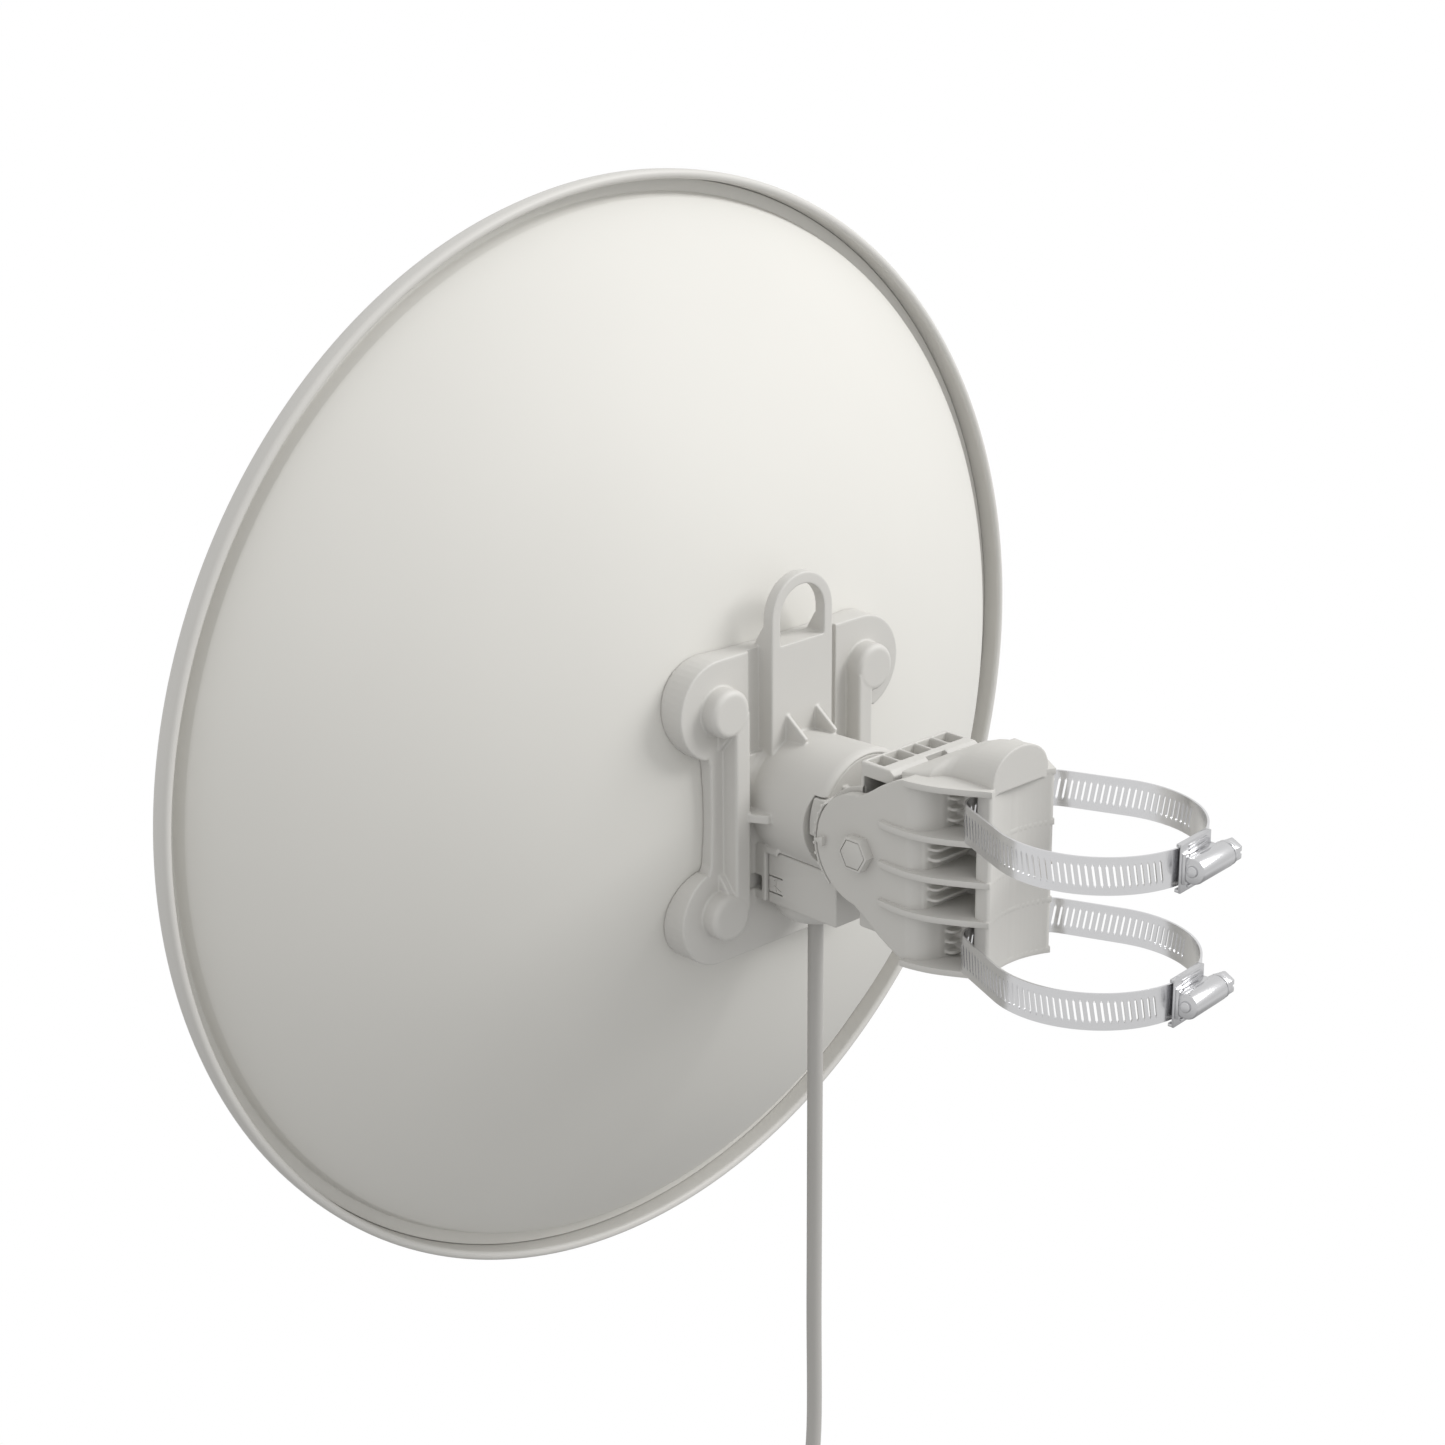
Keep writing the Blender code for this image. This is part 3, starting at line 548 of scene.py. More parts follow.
def bar_shapes(side):
    """One C shaped bar: an upright between two round bosses, which hide the housing's screws."""
    top, bottom = BOSSES[0][1] - 0.7, BOSSES[1][1] + 0.7
    outline = [(side * x, z) for x, z in ((26, bottom), (32.6, bottom), (32.6, top), (26, top))]
    shapes = [prism(outline, "XZ", PLATE_Y - 3, BAR_Y - 0.15, 0.9, 3, "high")]
    for x, z in BOSSES:
        foot, end = (side * x, PLATE_Y - 3, z), (side * x, BAR_Y, z)
        shapes.append(rod(foot, end, BOSS_RADIUS, 64, soft=2.0, segments=6))
        up = 1 if z > 0 else -1
        rib = [(PLATE_Y - 1, z - up * 7), (BAR_Y - 0.6, z - up * 7), (PLATE_Y - 1, z - up * 15.5)]
        shapes.append(prism(rib, "YZ", *span(side, x - 1.6, x + 0.5), 0.3))
    return shapes


def hoist_shapes():
    """The tab with its hoisting loop, and the two gussets at its foot."""
    stadium = [(TAB_HALF, 14)] + arc(0, LOOP_Z, TAB_HALF, 0, 180, 40) + [(-TAB_HALF, 14)]
    shapes = [prism(stadium, "XZ", -132.1, TAB_Y, 0.45)]
    kink = LOOP_Z - 2.2
    buttress = [(TAB_Y - 0.6, 14), (TAB_Y - 0.6, kink), (-131.8, kink), (-132.6, kink - 0.8)]
    buttress += [(-136.4, 54.3), (-140, 50), (-140, 14)]
    shapes.append(prism(buttress, "YZ", -TAB_HALF, TAB_HALF, 0.3))
    for x in (7.0, -7.0):
        gusset = [(-129.5, 31.4), (-127.4, 29.8), (-118.6, 23.4), (-119.8, 20.0), (-129.5, 20.0)]
        shapes.append(prism(gusset, "YZ", x - 0.8, x + 0.8, 0.25))
    return shapes


def barrel_shape():
    """The round barrel that stands on the plate, hollow and open toward the mast."""
    outer = [(0, -134.5), (24.6, -134.5), (23.9, -132.6), (22.7, -131.4), (22.1, -130.0), (22.4, -124)]
    outer += [(23.0, -107), (23.3, -99.8), (23.1, -98.4), (22.4, -97.4), (21.9, -97.1), (21.4, -97.3)]
    inner = [(21.4, -98.9), (18.2, -98.9), (18.2, -130.6), (0, -130.6)]
    return turned(outer + inner, 128)


def slot_cutter(side):
    """The hollow in the barrel's side that the tilting tongue runs in."""
    nose = arc(HINGE_Y, 0, 27.6, 180 - 24.6, 180 + 24.6, 16)
    outline = [(-90, 11.5)] + nose + [(-90, -11.5)]
    return prism(outline, "YZ", *span(side, 17.6, 30))


def make_housing(looks):
    """The moulded rear housing: plate, C bars, hoisting tab, barrel and the frame of the cable bay."""
    plate, grooves = plate_shapes()
    shapes = plate + hoist_shapes() + bar_shapes(1) + bar_shapes(-1) + [barrel_shape()]
    for side in (1, -1):
        shelf = [(19.5, -131.5), (26.9, -131.5), (27.4, -130), (27.3, -125.2), (24.2, -119.7), (19.5, -119.4)]
        shelf = [(side * x, y) for x, y in shelf]
        shapes.append(prism(shelf, "XY", -2.9, 0.2, 0.35))
        low, high = span(side, 14.6, 18.2)
        shapes.append(block((low, -137, -34.5), (high, -127.3, -14.0), 0.3))
        low, high = span(side, 17.3, 18.2)
        shapes.append(block((low, -128.5, -16.7), (high, -121.6, -14.4), 0.2))
    shapes.append(block((-17.3, -134, -15.9), (17.3, -101.6, -12.8), 0.4))
    dome = [(r, dish_rear(r) + 0.25) for r in range(0, 89, 8)]
    cutters = grooves + [turned(dome + [(88, -175), (0, -175)], 96)]
    loop = [(LOOP_HALF, 54.5)] + arc(0, LOOP_Z, LOOP_HALF, 0, 180, 32) + [(-LOOP_HALF, 54.5)]
    cutters.append(prism(loop, "XZ", -160, -120))
    cutters.append(rod((0, -150, 0), (0, -129, 0), 12.4))
    for side in (1, -1):
        cutters.append(slot_cutter(side))
        low, high = span(side, 13, 22)
        cutters.append(block((low, -133.3, -31.2), (high, -129.1, -25.7)))
    cutters.append(block((-8.6, -128.7, -22), (8.6, -112.3, -10)))
    cutters.append(block((-14.9, -131.0, -40), (14.9, -90, -15.5)))
    cutters.append(block((-17.3, -127.2, -40), (17.3, -90, -15.6)))
    for x, z in BOSSES:
        for side in (1, -1):
            cutters.append(rod((side * x, -150, z), (side * x, -128.2, z), 1.9, 24))
    body = moulded(shapes, cutters, CASTING_VOXEL)
    finished(body, "rear_casting", looks["plastic"], "head", ["rear_housing"], 0)


def make_door(looks):
    """The cable bay's sliding door with its slit latch."""
    walls = block((-17.0, -126.9, -35.0), (17.0, -95.0, -15.95), 0.7, segments=3)
    room = [block((-15.3, -140, -60), (15.3, -96.7, 0))]
    for side in (1, -1):
        for z in (-25.0, -30.9):
            low, high = span(side, 12, 20)
            room.append(block((low, -130, z - 0.28), (high, -120.1, z + 0.28)))
        for z, lean in ((-26.3, 1), (-28.1, -1)):
            turn = Matrix.Rotation(math.radians(24 * lean), 3, "X")
            low, high = span(side, 16.75, 18)
            corners = (low, -124.0, z - 0.22), (high, -120.4, z + 0.22)
            room.append(block(*corners, turn=turn, about=(0, -124, z)))
        low, high = span(side, 16.8, 18)
        room.append(block((low, -123.2, -30.2), (high, -122.9, -25.6)))
    body = carved(walls, room)
    finished(body, "bay_door", looks["plastic"], "door", ["cable_door"], 30)


def make_cup(looks):
    """The rounded cup under the cable bay, and the rubber ring that the lead leaves through."""
    bend, corner_r, corner_z = 7.4, 7.2, -35.6
    bowl = [(0, corner_z - bend)]
    for degrees in range(0, 91, 9):
        a = math.radians(degrees)
        bowl.append((corner_r + bend * math.sin(a), corner_z - bend * math.cos(a)))
    bowl += [(14.6, -33.4), (0, -33.4)]
    cup = turned(bowl, 96, "Z", (0, CABLE_Y, 0))
    floor = block((-14.8, -130.4, -34.9), (14.8, -97.1, -33.0), 0.2)
    cutters = [
        rod((0, CABLE_Y, -40.2), (0, CABLE_Y, -30), 10.5),
        rod((0, CABLE_Y, -50), (0, CABLE_Y, -39), 5.0),
        block((-20, -150, -60), (20, -132.2, -20)),
        block((-20, -140, -34.9), (20, -130.7, -20)),
    ]
    body = moulded([cup, floor], cutters, CUP_VOXEL)
    finished(body, "gland_cup", looks["plastic"], "head", ["cable_cup"], 0)
    collar = [(0, -39.65), (6.3, -39.65), (6.3, -39.9), (4.65, -39.9), (4.65, -43.6)]
    collar += [(4.3, -44.2), (3.6, -44.45), (2.85, -44.45), (2.85, -43.5), (0, -43.5)]
    ring = turned(collar, 64, "Z", (0, CABLE_Y, 0))
    finished(ring, "gland_ring", looks["rubber"], "head", ["cable_grommet"])


# ---------------------------------------------------------------- knuckle

def make_knuckle(looks):
    """The tilting ladder block, its tongue in the barrel and the cap that closes the barrel."""
    frame_block = block((-20.5, -81.2, -28.6), (20.5, -66.4, 29.3), 0.6)
    tongue = block((-20.5, -98.3, -10.9), (20.5, -80, 10.9), 0.4)
    lid = [(0, -101), (17.8, -101), (17.8, -98.6), (21.7, -98.6), (21.7, -97.7), (21.2, -97.2), (0, -96.4)]
    shapes = [frame_block, tongue, turned(lid, 160)]
    nose = arc(HINGE_Y, 0, 27.1, 180 - 23.6, 180 + 6, 16)
    for side in (1, -1):
        shapes.append(prism([(-96, 10.9)] + nose + [(-96, -2.8)], "YZ", *span(side, 17.9, 20.7), 0.2))
        shapes.append(hinge_rod(*span(side, 19.5, 20.75), 20.9, 96))
    for side in (1, -1):
        shapes.append(block((side * 11 - 1.2, -98, 12.4), (side * 11 + 1.2, -95.2, 13.6), 0.3))
    cutters = [hinge_rod(-40, 40, 3.25, 48)]
    for side in (1, -1):
        low, high = span(side, 6.5, 24)
        cutters.append(block((low, -79.6, 13.0), (high, -68.1, 24.5)))
        cutters.append(block((low, -79.6, -24.0), (high, -68.1, -13.0)))
    cells, cell_pitch, cell_half = 5, 7.75, 3.4
    for i in range(cells):
        x = (i - 2) * cell_pitch - 0.3
        cutters.append(block((x - cell_half, -80.0, 25.0), (x + cell_half, -72.5, 33)))
        cutters.append(block((x - cell_half, -80.0, -33), (x + cell_half, -72.5, -25.0)))
    cutters.append(block((-6.0, -69.3, 25.6), (3.2, -60, 33)))
    bevel = [(-68.7, 32), (-68.7, 29.6), (-66.1, 27.4), (-62, 27.4), (-62, 32)]
    cutters.append(prism(bevel, "YZ", -24, 24))
    body = moulded(shapes, cutters, KNUCKLE_VOXEL)
    node = "tilt_knuckle"
    finished(body, "knuckle_casting", looks["plastic"], "head", [node], 0)


def make_scale(looks):
    """A thin rim round each cheek's nose, with raised dots that count out the tilt."""
    rim_inner, rim_outer, dot_circle, dot_radius = 19.85, 20.6, 20.55, 0.55
    dots, dot_step = 8, 9.9
    start, end = 180 - 38, 180 + 48
    rim = arc(HINGE_Y, 0, rim_outer, start, end, 40) + arc(HINGE_Y, 0, rim_inner, end, start, 40)
    shapes = []
    for side in (1, -1):
        shapes.append(prism(rim, "YZ", *span(side, 20.4, 25.0), 0.12))
        for k in range(dots):
            a = math.radians(180 - 33 + dot_step * k)
            y, z = HINGE_Y + dot_circle * math.cos(a), dot_circle * math.sin(a)
            foot, tip = (side * 24.2, y, z), (side * 25.3, y, z)
            shapes.append(rod(foot, tip, dot_radius, 16, soft=0.2, segments=2))
    body = joined(shapes)
    finished(body, "tilt_scale_rim", looks["plastic"], "head", (), 40)


def make_fasteners(looks):
    """The hinge bolt: a moulded hexagon on the near cheek, a shank, and a washer and nut on the far cheek."""
    spin = math.radians(90)
    corners = hexagon(BOLT_FLATS)
    head = hinge_rod(24.9, 28.5, corners, 6, soft=0.15, spin=spin)
    head = carved(head, [hinge_rod(27.9, 30, hexagon(9.5), 6, spin=spin)])
    core = hinge_rod(27.0, 28.45, hexagon(8.9), 6, soft=0.1, spin=spin)
    boss = joined([head, core])
    finished(boss, "tilt_bolt_cap", looks["plastic"], "bracket", (), 30)
    shank = hinge_rod(-34, 25.0, 3.0, 32, soft=0.4)
    finished(shank, "tilt_bolt_shank", looks["plated"], "bracket", ["tilt_bolt"], 30)
    washer = carved(hinge_rod(-26.7, -25.3, 6.6, 64, soft=0.25), [hinge_rod(-40, 0, 3.2, 32)])
    finished(washer, "tilt_bolt_washer", looks["plated"], "bracket", ["tilt_washer"], 30)
    nut = carved(hinge_rod(-32.0, -27.0, corners, 6, soft=0.4, spin=spin), [hinge_rod(-40, 0, 3.1, 32)])
    finished(nut, "tilt_hex_nut", looks["plated"], "nut", ["tilt_nut"], 30)


# ---------------------------------------------------------------- pole bracket

def cheek_outline():
    """A cheek seen from the side: a round nose about the hinge that widens toward the mast."""
    top = [(-57.0, 30.4), (-58.5, 30.1), (-62.5, 28.4), (-67.5, 25.7), (-72.0, 22.6), (-76.8, 19.5)]
    top = smooth_outline(top, 4)
    nose = arc(HINGE_Y, 0, CHEEK_NOSE, 97, 263, 40)
    return top + nose + [(y, -z - 1.4) for y, z in reversed(top)]


MIDDLE_WALL = [(24.4, -64), (24.6, -59), (25, -57.3), (24.85, -56), (24.1, -54.2), (22.3, -52.3)]
MIDDLE_WALL += [(19.4, -51), (4, -50.8)]
END_WALL = [(24.4, -57.4), (25, -57.3), (24.75, -55.5), (23.3, -52.8), (20.9, -50.7), (17.8, -49.3)]
END_WALL += [(14.6, -48.5), (4, -48.4)]
RIB_EDGE = [(27.0, -61.5), (27.0, -56.5), (26.2, -51.5), (24.2, -45.2), (20.4, -38.0), (16.2, -31.2)]
RIB_THICK = 2.1
RIB_TIPS = {30.0: -57.2, 12.8: -67.6, -0.8: -67.6, -14.2: -67.6, -31.9: -57.0}      # by level
FINS = {                    # half width, rear y, root y and levels
    "middle": (20.6, -47.4, -51.6, (3.9, 7.4, -6.2, -9.9)),
    "ends": (14.6, -45.2, -49.4, (16.5, 20.2, 23.9, 27.3, -18.2, -21.9, -25.6, -29.2)),
}


def wall_shape(half, low, high):
    """A cross wall between the cheeks, seen from above as a rounded half outline."""
    return prism(mirrored(smooth_outline(half, 5)), "XY", low, high)


def rib_shape(level, tip_y):
    """A crisp outer rib, from its tip on the cheek back to the mast."""
    edge = [(26.5, tip_y)] + [p for p in RIB_EDGE if p[1] >= tip_y]
    half = [(21.5, tip_y)] + smooth_outline(edge, 4)
    seat = arc(0, 0, SEAT_RADIUS, -62.6, -90, 8)
    return prism(mirrored(half + seat[:-1]), "XY", level - RIB_THICK / 2, level + RIB_THICK / 2, 0.14)


def hood_shape():
    """The raised crown above the top rib: it runs back from the tilting block and up to the mast."""
    sections = [            # y, half width and height
        (-63.2, 20.6, 0.3), (-60.0, 20.8, 2.1), (-56.0, 20.6, 4.1), (-52.4, 19.2, 5.9), (-50.2, 15.4, 7.2),
        (-48.0, 13.9, 8.4), (-43.4, 13.5, 10.2), (-38.0, 13.4, 11.2), (-31.0, 13.5, 11.9),
    ]
    root, spring, steps = 28.6, 30.4, 24
    arch = [math.pi * i / steps for i in range(steps + 1)]
    rings = []
    for y, half, height in sections:
        ring = [(half * math.cos(a), y, spring + height * math.sin(a) ** 0.85) for a in arch]
        rings.append([(half, y, root)] + ring + [(-half, y, root)])
    return loft(rings)


def fin_shape(half, rear, root, level):
    """A thin shelf with rounded outer corners behind the cross wall."""
    bend = 2.2
    corner = arc(half - bend, rear - bend, bend, 90, 0, 5)
    outline = mirrored([(0.01, rear)] + corner + [(half, root)])
    return prism(outline, "XY", level - 0.55, level + 0.55, 0.2)


def make_bracket(looks):
    """The moulded pole bracket: cheeks, cross walls, saddle, fins and hood in one, with crisp ribs."""
    shapes = [prism(cheek_outline(), "YZ", *span(side, CHEEK_INNER, CHEEK_OUTER), 0.4) for side in (1, -1)]
    shapes.append(wall_shape(MIDDLE_WALL, -15.2, 13.4))
    shapes.append(wall_shape(END_WALL, 12.2, 30.3))
    shapes.append(wall_shape(END_WALL, -32.3, -14.0))
    seat = arc(0, 0, SEAT_RADIUS, -64.6, -90, 8)
    saddle = mirrored([(14.4, -36.4), (15.7, -35.1), (15.7, -30.4)] + seat[:-1])
    for low, high in ((-32.2, -13.8), (-15, 13), (12, 30.2)):
        shapes.append(prism(saddle, "XY", low, high, 0.3))
    shapes.append(block((-1.6, -52, -15), (1.6, -33.5, 13)))
    for side in (1, -1):
        for low, high in ((-31, -14), (13, 30)):
            shapes.append(block((side * 9 - 1, -50, low), (side * 9 + 1, -33.5, high)))
    for half, rear, root, levels in FINS.values():
        shapes += [fin_shape(half, rear, root, level) for level in levels]
    shapes.append(hood_shape())
    swept = arc(HINGE_Y, 0, SWING_RADIUS, 41.3, 90, 12) + [(-110, SWING_RADIUS), (-110, -SWING_RADIUS)]
    swept += arc(HINGE_Y, 0, SWING_RADIUS, -90, -41.3, 12)
    inside = 21.25
    cutters = [prism(swept, "YZ", -inside, inside), hinge_rod(-40, 40, 3.3, 48)]
    notch = [(-inside, -64.8), (inside, -64.8), (inside, -90), (-inside, -90)]
    cutters.append(prism(notch, "XY", 29.5, 50))
    ribs = [rib_shape(level, tip_y) for level, tip_y in RIB_TIPS.items()]
    pointer = [(-95.9, -0.1), (-92.4, 1.5), (-92.0, 1.5), (-92.0, -1.7), (-92.4, -1.7)]
    for side in (1, -1):
        ribs.append(prism(pointer, "YZ", *span(side, 24.0, 27.0), 0.1))
    body = joined([moulded(shapes, cutters, CASTING_VOXEL)] + ribs)
    node = "pole_bracket"
    finished(body, "mast_bracket", looks["plastic"], "bracket", [node], 42)


# ---------------------------------------------------------------- clamps

def band_path(count):
    """Points evenly along the band's middle line, from the back round the right side to the front and on."""
    right = arc(0, 0, BAND_MIDDLE, 90, BAND_LEAVES_AT, 60)
    a = math.radians(BAND_LEAVES_AT)
    heading = Vector((math.sin(a), -math.cos(a)))
    leave = Vector(right[-1])
    corner = leave + heading * ((BAND_FRONT_Y - leave.y) / heading.y)
    setback = BAND_CORNER * math.tan(math.radians(90 + BAND_LEAVES_AT) / 2)
    start = corner - heading * setback
    centre = start + Vector((heading.y, -heading.x)) * BAND_CORNER
    first = math.degrees(math.atan2(start.y - centre.y, start.x - centre.x))
    right += arc(centre.x, centre.y, BAND_CORNER, first, -90, 12)
    loop = [Vector(p) for p in right + [(-x, y) for x, y in reversed(right[1:])]]
    lengths = [0.0]
    for i, p in enumerate(loop):
        lengths.append(lengths[-1] + (loop[(i + 1) % len(loop)] - p).length)
    total = lengths[-1]
    found = []
    k = 0
    for i in range(count):
        goal = total * i / count
        while lengths[k + 1] < goal:
            k += 1
        t = (goal - lengths[k]) / (lengths[k + 1] - lengths[k])
        found.append(loop[k].lerp(loop[(k + 1) % len(loop)], t))
    return found, total


def make_band(looks, which, level):
    """A steel strip with slanted slots punched through it, closed round the mast."""
    per_slot = 8            # columns of faces in one pitch
    _, total = band_path(16)
    count = int(total / SLOT_PITCH) * per_slot
    path, total = band_path(count)
    edge = BAND_HEIGHT / 2
    rows = [-edge, -5.9, -3.75, -3.2, -1.6, 0, 1.6, 3.2, 3.75, 5.9, edge]
    slot_end = 4.0
    bm = bmesh.new()
    sheet = []
    for i in range(count):
        column = []
        for z in rows:
            lean = SLOT_SLANT * z if abs(z) < slot_end else 0.0
            here = i + lean * count / total
            k = math.floor(here)
            spot = path[k % count].lerp(path[(k + 1) % count], here - k)
            column.append(bm.verts.new((spot.x, spot.y, level + z)))
        sheet.append(column)
    first, last = 2, len(rows) - 4
    for i in range(count):
        x, y = path[i]
        clear_of_housing = y < 12 and x < 0 or math.degrees(math.atan2(y, x)) < 77
        for k in range(len(rows) - 1):
            narrow = k in (first, last)
            columns = (4,) if narrow else (3, 4, 5)
            if clear_of_housing and first <= k <= last and i % per_slot in columns:
                continue
            after = sheet[(i + 1) % count]
            bm.faces.new((sheet[i][k], after[k], after[k + 1], sheet[i][k + 1]))
    band = from_bmesh(bm)
    solid = band.modifiers.new("thick", "SOLIDIFY")
    solid.thickness = BAND_THICK
    solid.offset = 0
    applied(band)
    finished(band, f"{which}_band_strip", looks["steel"], "bracket", [f"{which}_band"], 30)


def make_clamp(looks, which, level):
    """The worm housing that closes a band, and the screw in it with its thread, collar and slotted head."""
    turn = Matrix.Rotation(math.radians(CLAMP_ANGLE) - math.pi / 2, 3, "Z")

    def slab(a0, a1, r0, r1, z0, z1, soft=0.2):
        return block((a0, r0, level + z0), (a1, r1, level + z1), soft, turn)

    def on_screw(start, end, radius, sides, end_radius=None, **more):
        """A rod along the screw's axis; its ends are distances along the band."""
        ends = [turn @ Vector((along, SCREW_RADIAL, level)) for along in (start, end)]
        return rod(*ends, radius, sides, end_radius, **more)

    base = slab(-8.4, 8.4, 34.4, 35.3, -7.95, 7.95, 0.3)
    shroud = on_screw(7.6, -10.6, 4.2, 64, soft=0.5)
    saddle = slab(-8.0, 7.2, 34.9, 38.0, -4.15, 4.15, 0.3)
    shapes = [base, carved(joined([shroud, saddle]), [on_screw(6.6, -20, 3.35, 48)])]
    for z in (-7.25, 7.25):
        shapes.append(slab(-8.3, 8.3, 33.1, 35.2, z - 0.6, z + 0.6, 0.25))
    for z in (-6.5, -5.1, 5.1, 6.5):
        shapes.append(slab(-5.6, 4.6, 34.9, 35.8, z - 0.4, z + 0.4, 0.25))
    shapes.append(slab(6.2, 8.0, 34.9, 36.4, -5.0, 5.0, 0.4))
    name, node = f"{which}_worm_housing", f"{which}_clamp_housing"
    finished(joined(shapes), name, looks["plated"], "bracket", [node], 30)

    root, crest, half_pitch = 2.4, 3.0, 0.7
    thread = [on_screw(8.4, -11.2, 1.8, 32, soft=0.3)]
    for k in range(7):
        at = 5.6 - 2.4 * k
        thread.append(on_screw(at + half_pitch, at, root, 32, crest))
        thread.append(on_screw(at, at - half_pitch, crest, 32, root))
    thread.append(on_screw(-10.9, -12.1, 4.1, 48, soft=0.3))
    head = on_screw(-12.0, -15.35, hexagon(SCREW_FLATS), 6, soft=0.35)
    groove = slab(-16.2, -14.3, SCREW_RADIAL - 6, SCREW_RADIAL + 6, -0.5, 0.5, 0)
    thread.append(carved(head, [groove]))
    name, node = f"{which}_worm_screw", f"{which}_clamp_screw"
    finished(joined(thread), name, looks["plated"], f"{which}_screw", [node], 30)


# ---------------------------------------------------------------- cable

LEAD_ROUTE = [
    (0, CABLE_Y, CABLE_TOP),
    (0, CABLE_Y, -90),
    (0, CABLE_Y, -140),
    (0, CABLE_Y, -195),
    (0, CABLE_Y, -253),
    (4.5, CABLE_Y - 1.1, -270.7),
    (16.9, CABLE_Y - 4.2, -283.5),
    (29.3, CABLE_Y - 7.2, -296.3),
    (LEAD_SIDE, CABLE_Y - 1.5 * COIL_LANE, -314.0),
]
LANES = [(1, 0), (0, 0), (0, 1), (1, 1), (1, 2), (0, 2), (0, 3), (1, 3)]
LANE_TURN = 330             # degrees wound before the cable moves to its next lane
LANE_SHIFT = 60             # degrees that it takes to move


def lane_at(angle):
    """How far out and how far across the coil the cable lies, after winding through an angle."""
    k = min(int(angle / LANE_TURN), len(LANES) - 1)
    here = Vector(LANES[k])
    after = Vector(LANES[min(k + 1, len(LANES) - 1)])
    t = max(0.0, (angle - k * LANE_TURN - (LANE_TURN - LANE_SHIFT)) / LANE_SHIFT)
    return here.lerp(after, t * t * (3 - 2 * t))


def cable_route():
    """The lead's centreline: down from the gland, round and round in a tied coil, then down to the plug."""
    points = smooth_curve(LEAD_ROUTE, 8)
    for i in range(COIL_TURNS * COIL_STEPS + 1):
        angle = 360 * i / COIL_STEPS
        lane = lane_at(angle)
        radius = COIL_MEAN + (lane.x - 0.5) * COIL_LANE
        a = -math.radians(angle)
        y = CABLE_Y + (lane.y - 1.5) * COIL_LANE
        points.append(Vector((radius * math.cos(a), y, COIL_Z + radius * math.sin(a))))
    for drop in (12, 24, 36, PLUG_DROP - 10):
        points.append(Vector((LEAD_SIDE, CABLE_Y + 1.5 * COIL_LANE, COIL_Z - drop)))
    return points


def make_cable(looks):
    """The network lead as one cord, with the strap round its coil and the plug at its end."""
    route = cable_route()
    curve = bpy.data.curves.new("data_cable", "CURVE")
    curve.dimensions = "3D"
    curve.bevel_depth = CABLE_RADIUS * MM
    curve.bevel_resolution = 5
    curve.use_fill_caps = True
    spline = curve.splines.new("POLY")
    spline.points.add(len(route) - 1)
    for point, at in zip(spline.points, route):
        point.co = (*(at * MM), 1)
    curve.materials.append(looks["cable"])
    cable = link(bpy.data.objects.new("data_cable", curve))
    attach(cable, "head")
    for node in ("cable_lead", "cable_coil", "cable_tail"):
        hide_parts(node)
    tie = make_tie(looks)
    plug = make_plug(looks)


def make_tie(looks):
    """A rubber strap round the coil's lowest point."""
    wide = 2 * COIL_LANE + 0.3
    tall = COIL_LANE + 0.35
    bend = 2.4
    outline = []
    for cx, cz, start in ((1, 1, 0), (-1, 1, 90), (-1, -1, 180), (1, -1, 270)):
        outline += arc(cx * (wide - bend), cz * (tall - bend), bend, start, start + 90, 6)
    middle = COIL_Z - COIL_MEAN
    outer = [(CABLE_Y + y * 1.06, middle + z * 1.12) for y, z in outline]
    inner = [(CABLE_Y + y, middle + z) for y, z in outline]
    strap = carved(prism(outer, "YZ", -2.45, 2.45, 0.2), [prism(inner, "YZ", -8, 8)])
    return finished(strap, "coil_strap", looks["rubber"], "head", ["coil_tie"], 30)


def make_plug(looks):
    """A clear eight way plug with a grey boot, its latch and its gilt contacts."""
    x, y = LEAD_SIDE, CABLE_Y + 1.5 * COIL_LANE
    z = COIL_Z - PLUG_DROP
    boot = rod((x, y, z + 10.3), (x, y, z - 0.3), 3.3, 32, 4.6, soft=0.4)
    boot = finished(boot, "plug_boot", looks["cable"], "head", (), 30)
    shell = block((x - 5.75, y - 3.1, z - 21.4), (x + 5.75, y + 3.9, z), 0.4)
    latch = block((x - 1.6, y - 3.9, z - 17), (x + 1.6, y - 3.3, z + 1), 0.2)
    bridge = block((x - 1.6, y - 3.9, z - 17.4), (x + 1.6, y - 2.9, z - 15.8), 0.2)
    ways, way_pitch = 8, 1.05
    centres = [x + (i - (ways - 1) / 2) * way_pitch for i in range(ways)]
    slots = [block((at - 0.3, y + 2.9, z - 23), (at + 0.3, y + 5, z - 15.4)) for at in centres]
    shell = joined([carved(shell, slots), latch, bridge])
    shell = finished(shell, "plug_shell", looks["clear"], "head", ["cable_plug"], 30)
    pins = [block((at - 0.2, y + 2.0, z - 21.2), (at + 0.2, y + 3.4, z - 15.6)) for at in centres]
    pins = finished(joined(pins), "plug_contacts", looks["gold"], "head", (), 30)
    return [boot, shell, pins]


# ---------------------------------------------------------------- hidden pieces that keep their CAD shape

CAD_LOOKS = {
    "feed_waveguide": "plated",
    "feed_cone": "white",
    "sub_reflector": "plated",
    "circuit_board": "board",
    "board_shield": "plated",
    "ethernet_jack": "plated",
    "inner_plug": "clear",
    **{f"housing_screw_{i}": "plated" for i in (1, 2, 3, 4)},
}


def dress_cad_pieces(looks):
    """Gives the pieces that keep their CAD shape a look of their own."""
    for node, look in CAD_LOOKS.items():
        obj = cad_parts[node]
        obj.data.materials.clear()
        obj.data.materials.append(looks[look])


# ---------------------------------------------------------------- room

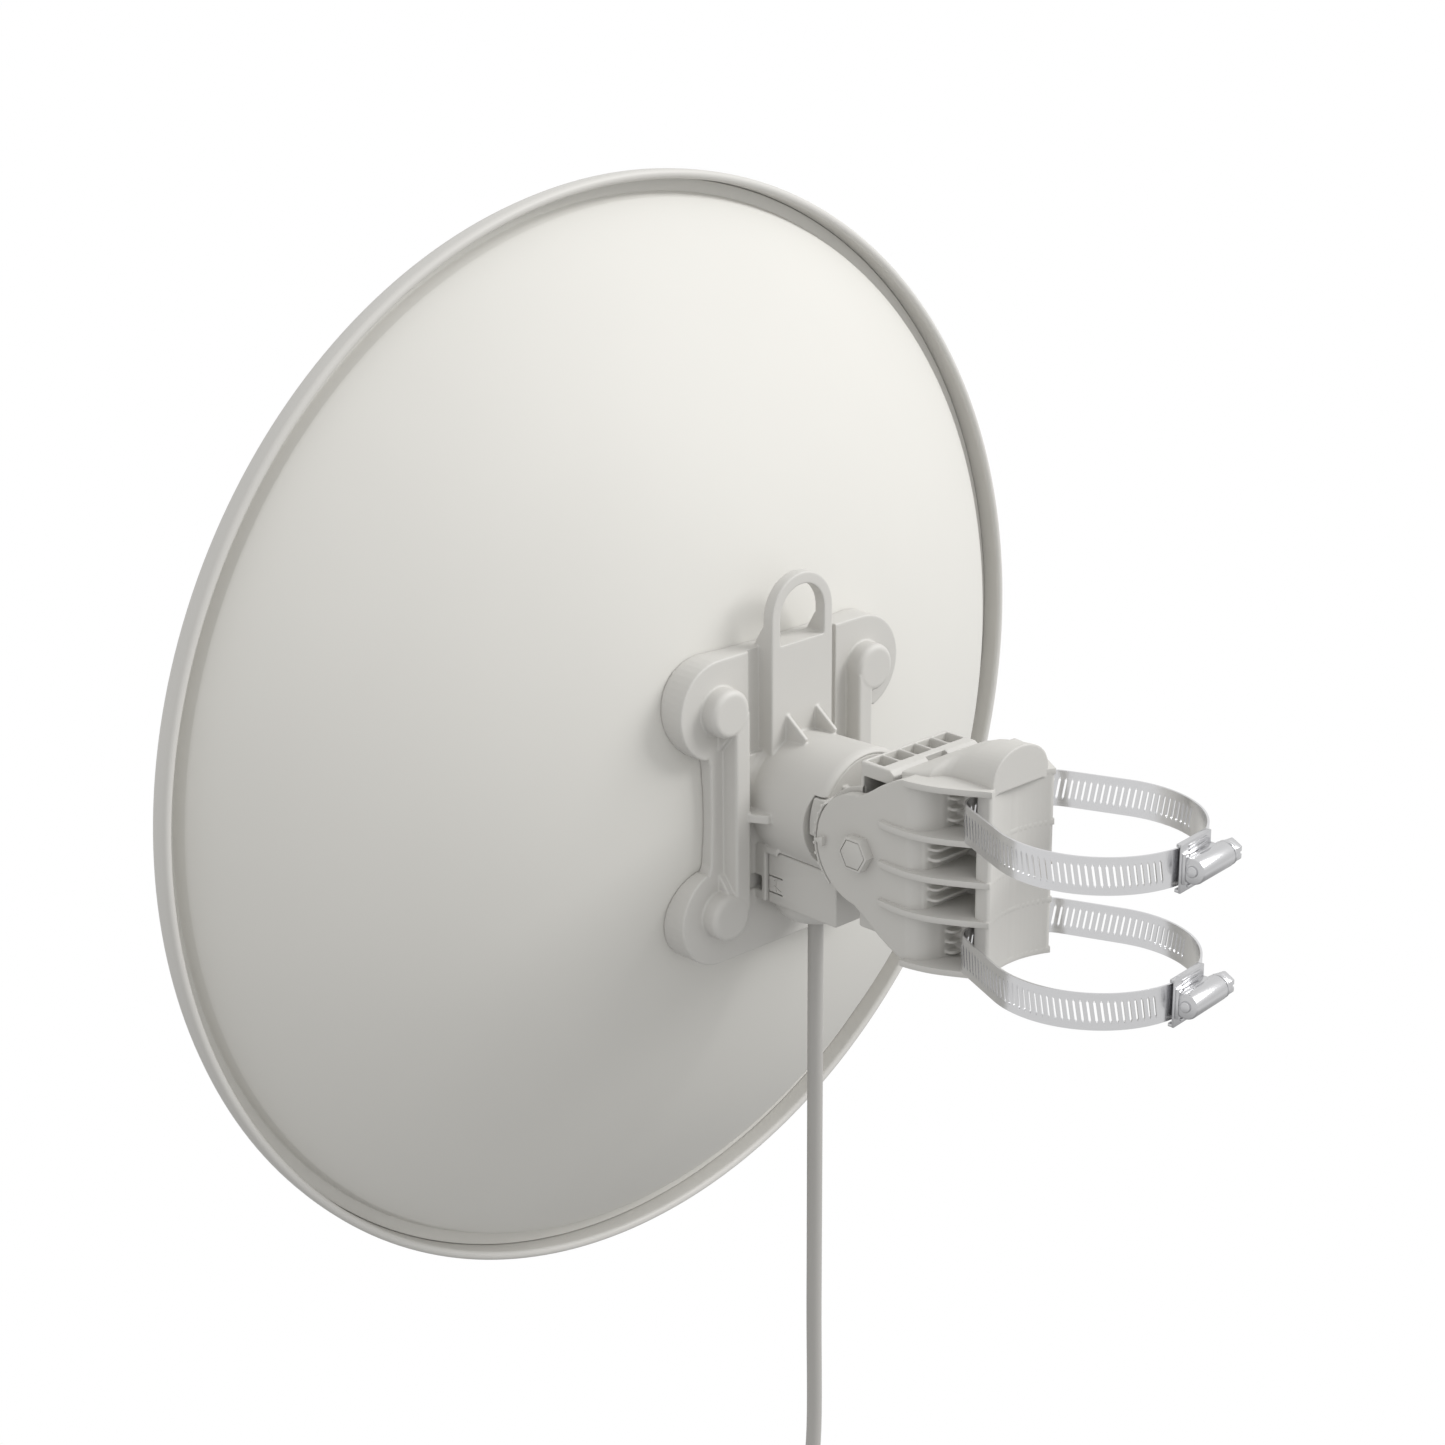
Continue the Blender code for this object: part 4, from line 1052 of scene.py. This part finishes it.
# In metres and watts.
FLOOR_Z = -1.35
FLOOR_HALF = 14.0
KEY_AIM = Vector((0, -0.12, 0))
KEY_DIRECTION = Vector((-0.57, 0.53, 0.63))
KEY_DISTANCE = 7.0
KEY_SIZE = 3.4
KEY_POWER = 320
# The sky's grey, from straight down (0) over the horizon (0.5) to straight up (1).
SKY = [(0.0, 0.30), (0.20, 0.46), (0.32, 0.84), (0.44, 0.74), (0.60, 0.84), (1.0, 0.92)]


def make_key_light():
    """One large soft light, high up on the right as the antenna's back is looked at."""
    data = bpy.data.lights.new("key", "AREA")
    data.shape = "RECTANGLE"
    data.size = data.size_y = KEY_SIZE
    data.energy = KEY_POWER
    light = link(bpy.data.objects.new("key", data))
    light.location = KEY_AIM + KEY_DIRECTION * KEY_DISTANCE
    light.rotation_euler = (-KEY_DIRECTION).to_track_quat("-Z", "Y").to_euler()


def make_surround():
    """A soft white sky that is dimmer from below, so that undersides fall into shade."""
    world = bpy.data.worlds.new("surround")
    world.use_nodes = True
    tree = world.node_tree
    direction = tree.nodes.new("ShaderNodeTexCoord")
    split = tree.nodes.new("ShaderNodeSeparateXYZ")
    lift = tree.nodes.new("ShaderNodeMath")
    lift.operation = "MULTIPLY_ADD"
    lift.inputs[1].default_value = 0.5
    lift.inputs[2].default_value = 0.5
    ramp = tree.nodes.new("ShaderNodeValToRGB")
    stops = ramp.color_ramp.elements
    while len(stops) < len(SKY):
        stops.new(0.5)
    for stop, (at, grey) in zip(stops, SKY):
        stop.position = at
        stop.color = (grey, grey, grey, 1)
    background = tree.nodes["Background"]
    tree.links.new(direction.outputs["Generated"], split.inputs["Vector"])
    tree.links.new(split.outputs["Z"], lift.inputs[0])
    tree.links.new(lift.outputs["Value"], ramp.inputs["Fac"])
    tree.links.new(ramp.outputs["Color"], background.inputs["Color"])
    background.inputs["Strength"].default_value = 1.0
    bpy.context.scene.world = world


def make_room():
    """A pale floor far below that takes no part in the lighting, a soft sky and a key light."""
    made, _, shader = shader_material("pale_floor", (0.0, 0.0, 0.0), 1.0, specular=0.0)
    shader.inputs["Emission Color"].default_value = (1, 1, 1, 1)
    shader.inputs["Emission Strength"].default_value = 1.0
    bm = bmesh.new()
    bmesh.ops.create_grid(bm, x_segments=1, y_segments=1, size=FLOOR_HALF)
    floor = from_bmesh(bm)
    floor.name = "floor"
    floor.location = (0, 0, FLOOR_Z)
    floor.data.materials.append(made)
    floor.visible_diffuse = False
    floor.visible_glossy = False
    floor.visible_shadow = False
    make_surround()
    make_key_light()
    bpy.context.scene.view_settings.view_transform = "Standard"


def main():
    make_camera()
    looks = make_materials()
    make_cable(looks)
    make_reflector(looks)
    make_radome(looks)
    make_housing(looks)
    make_door(looks)
    make_cup(looks)
    make_knuckle(looks)
    make_scale(looks)
    make_fasteners(looks)
    make_bracket(looks)
    for which, level in BAND_CENTRES.items():
        make_band(looks, which, level)
        make_clamp(looks, which, level)
    dress_cad_pieces(looks)
    make_room()


main()
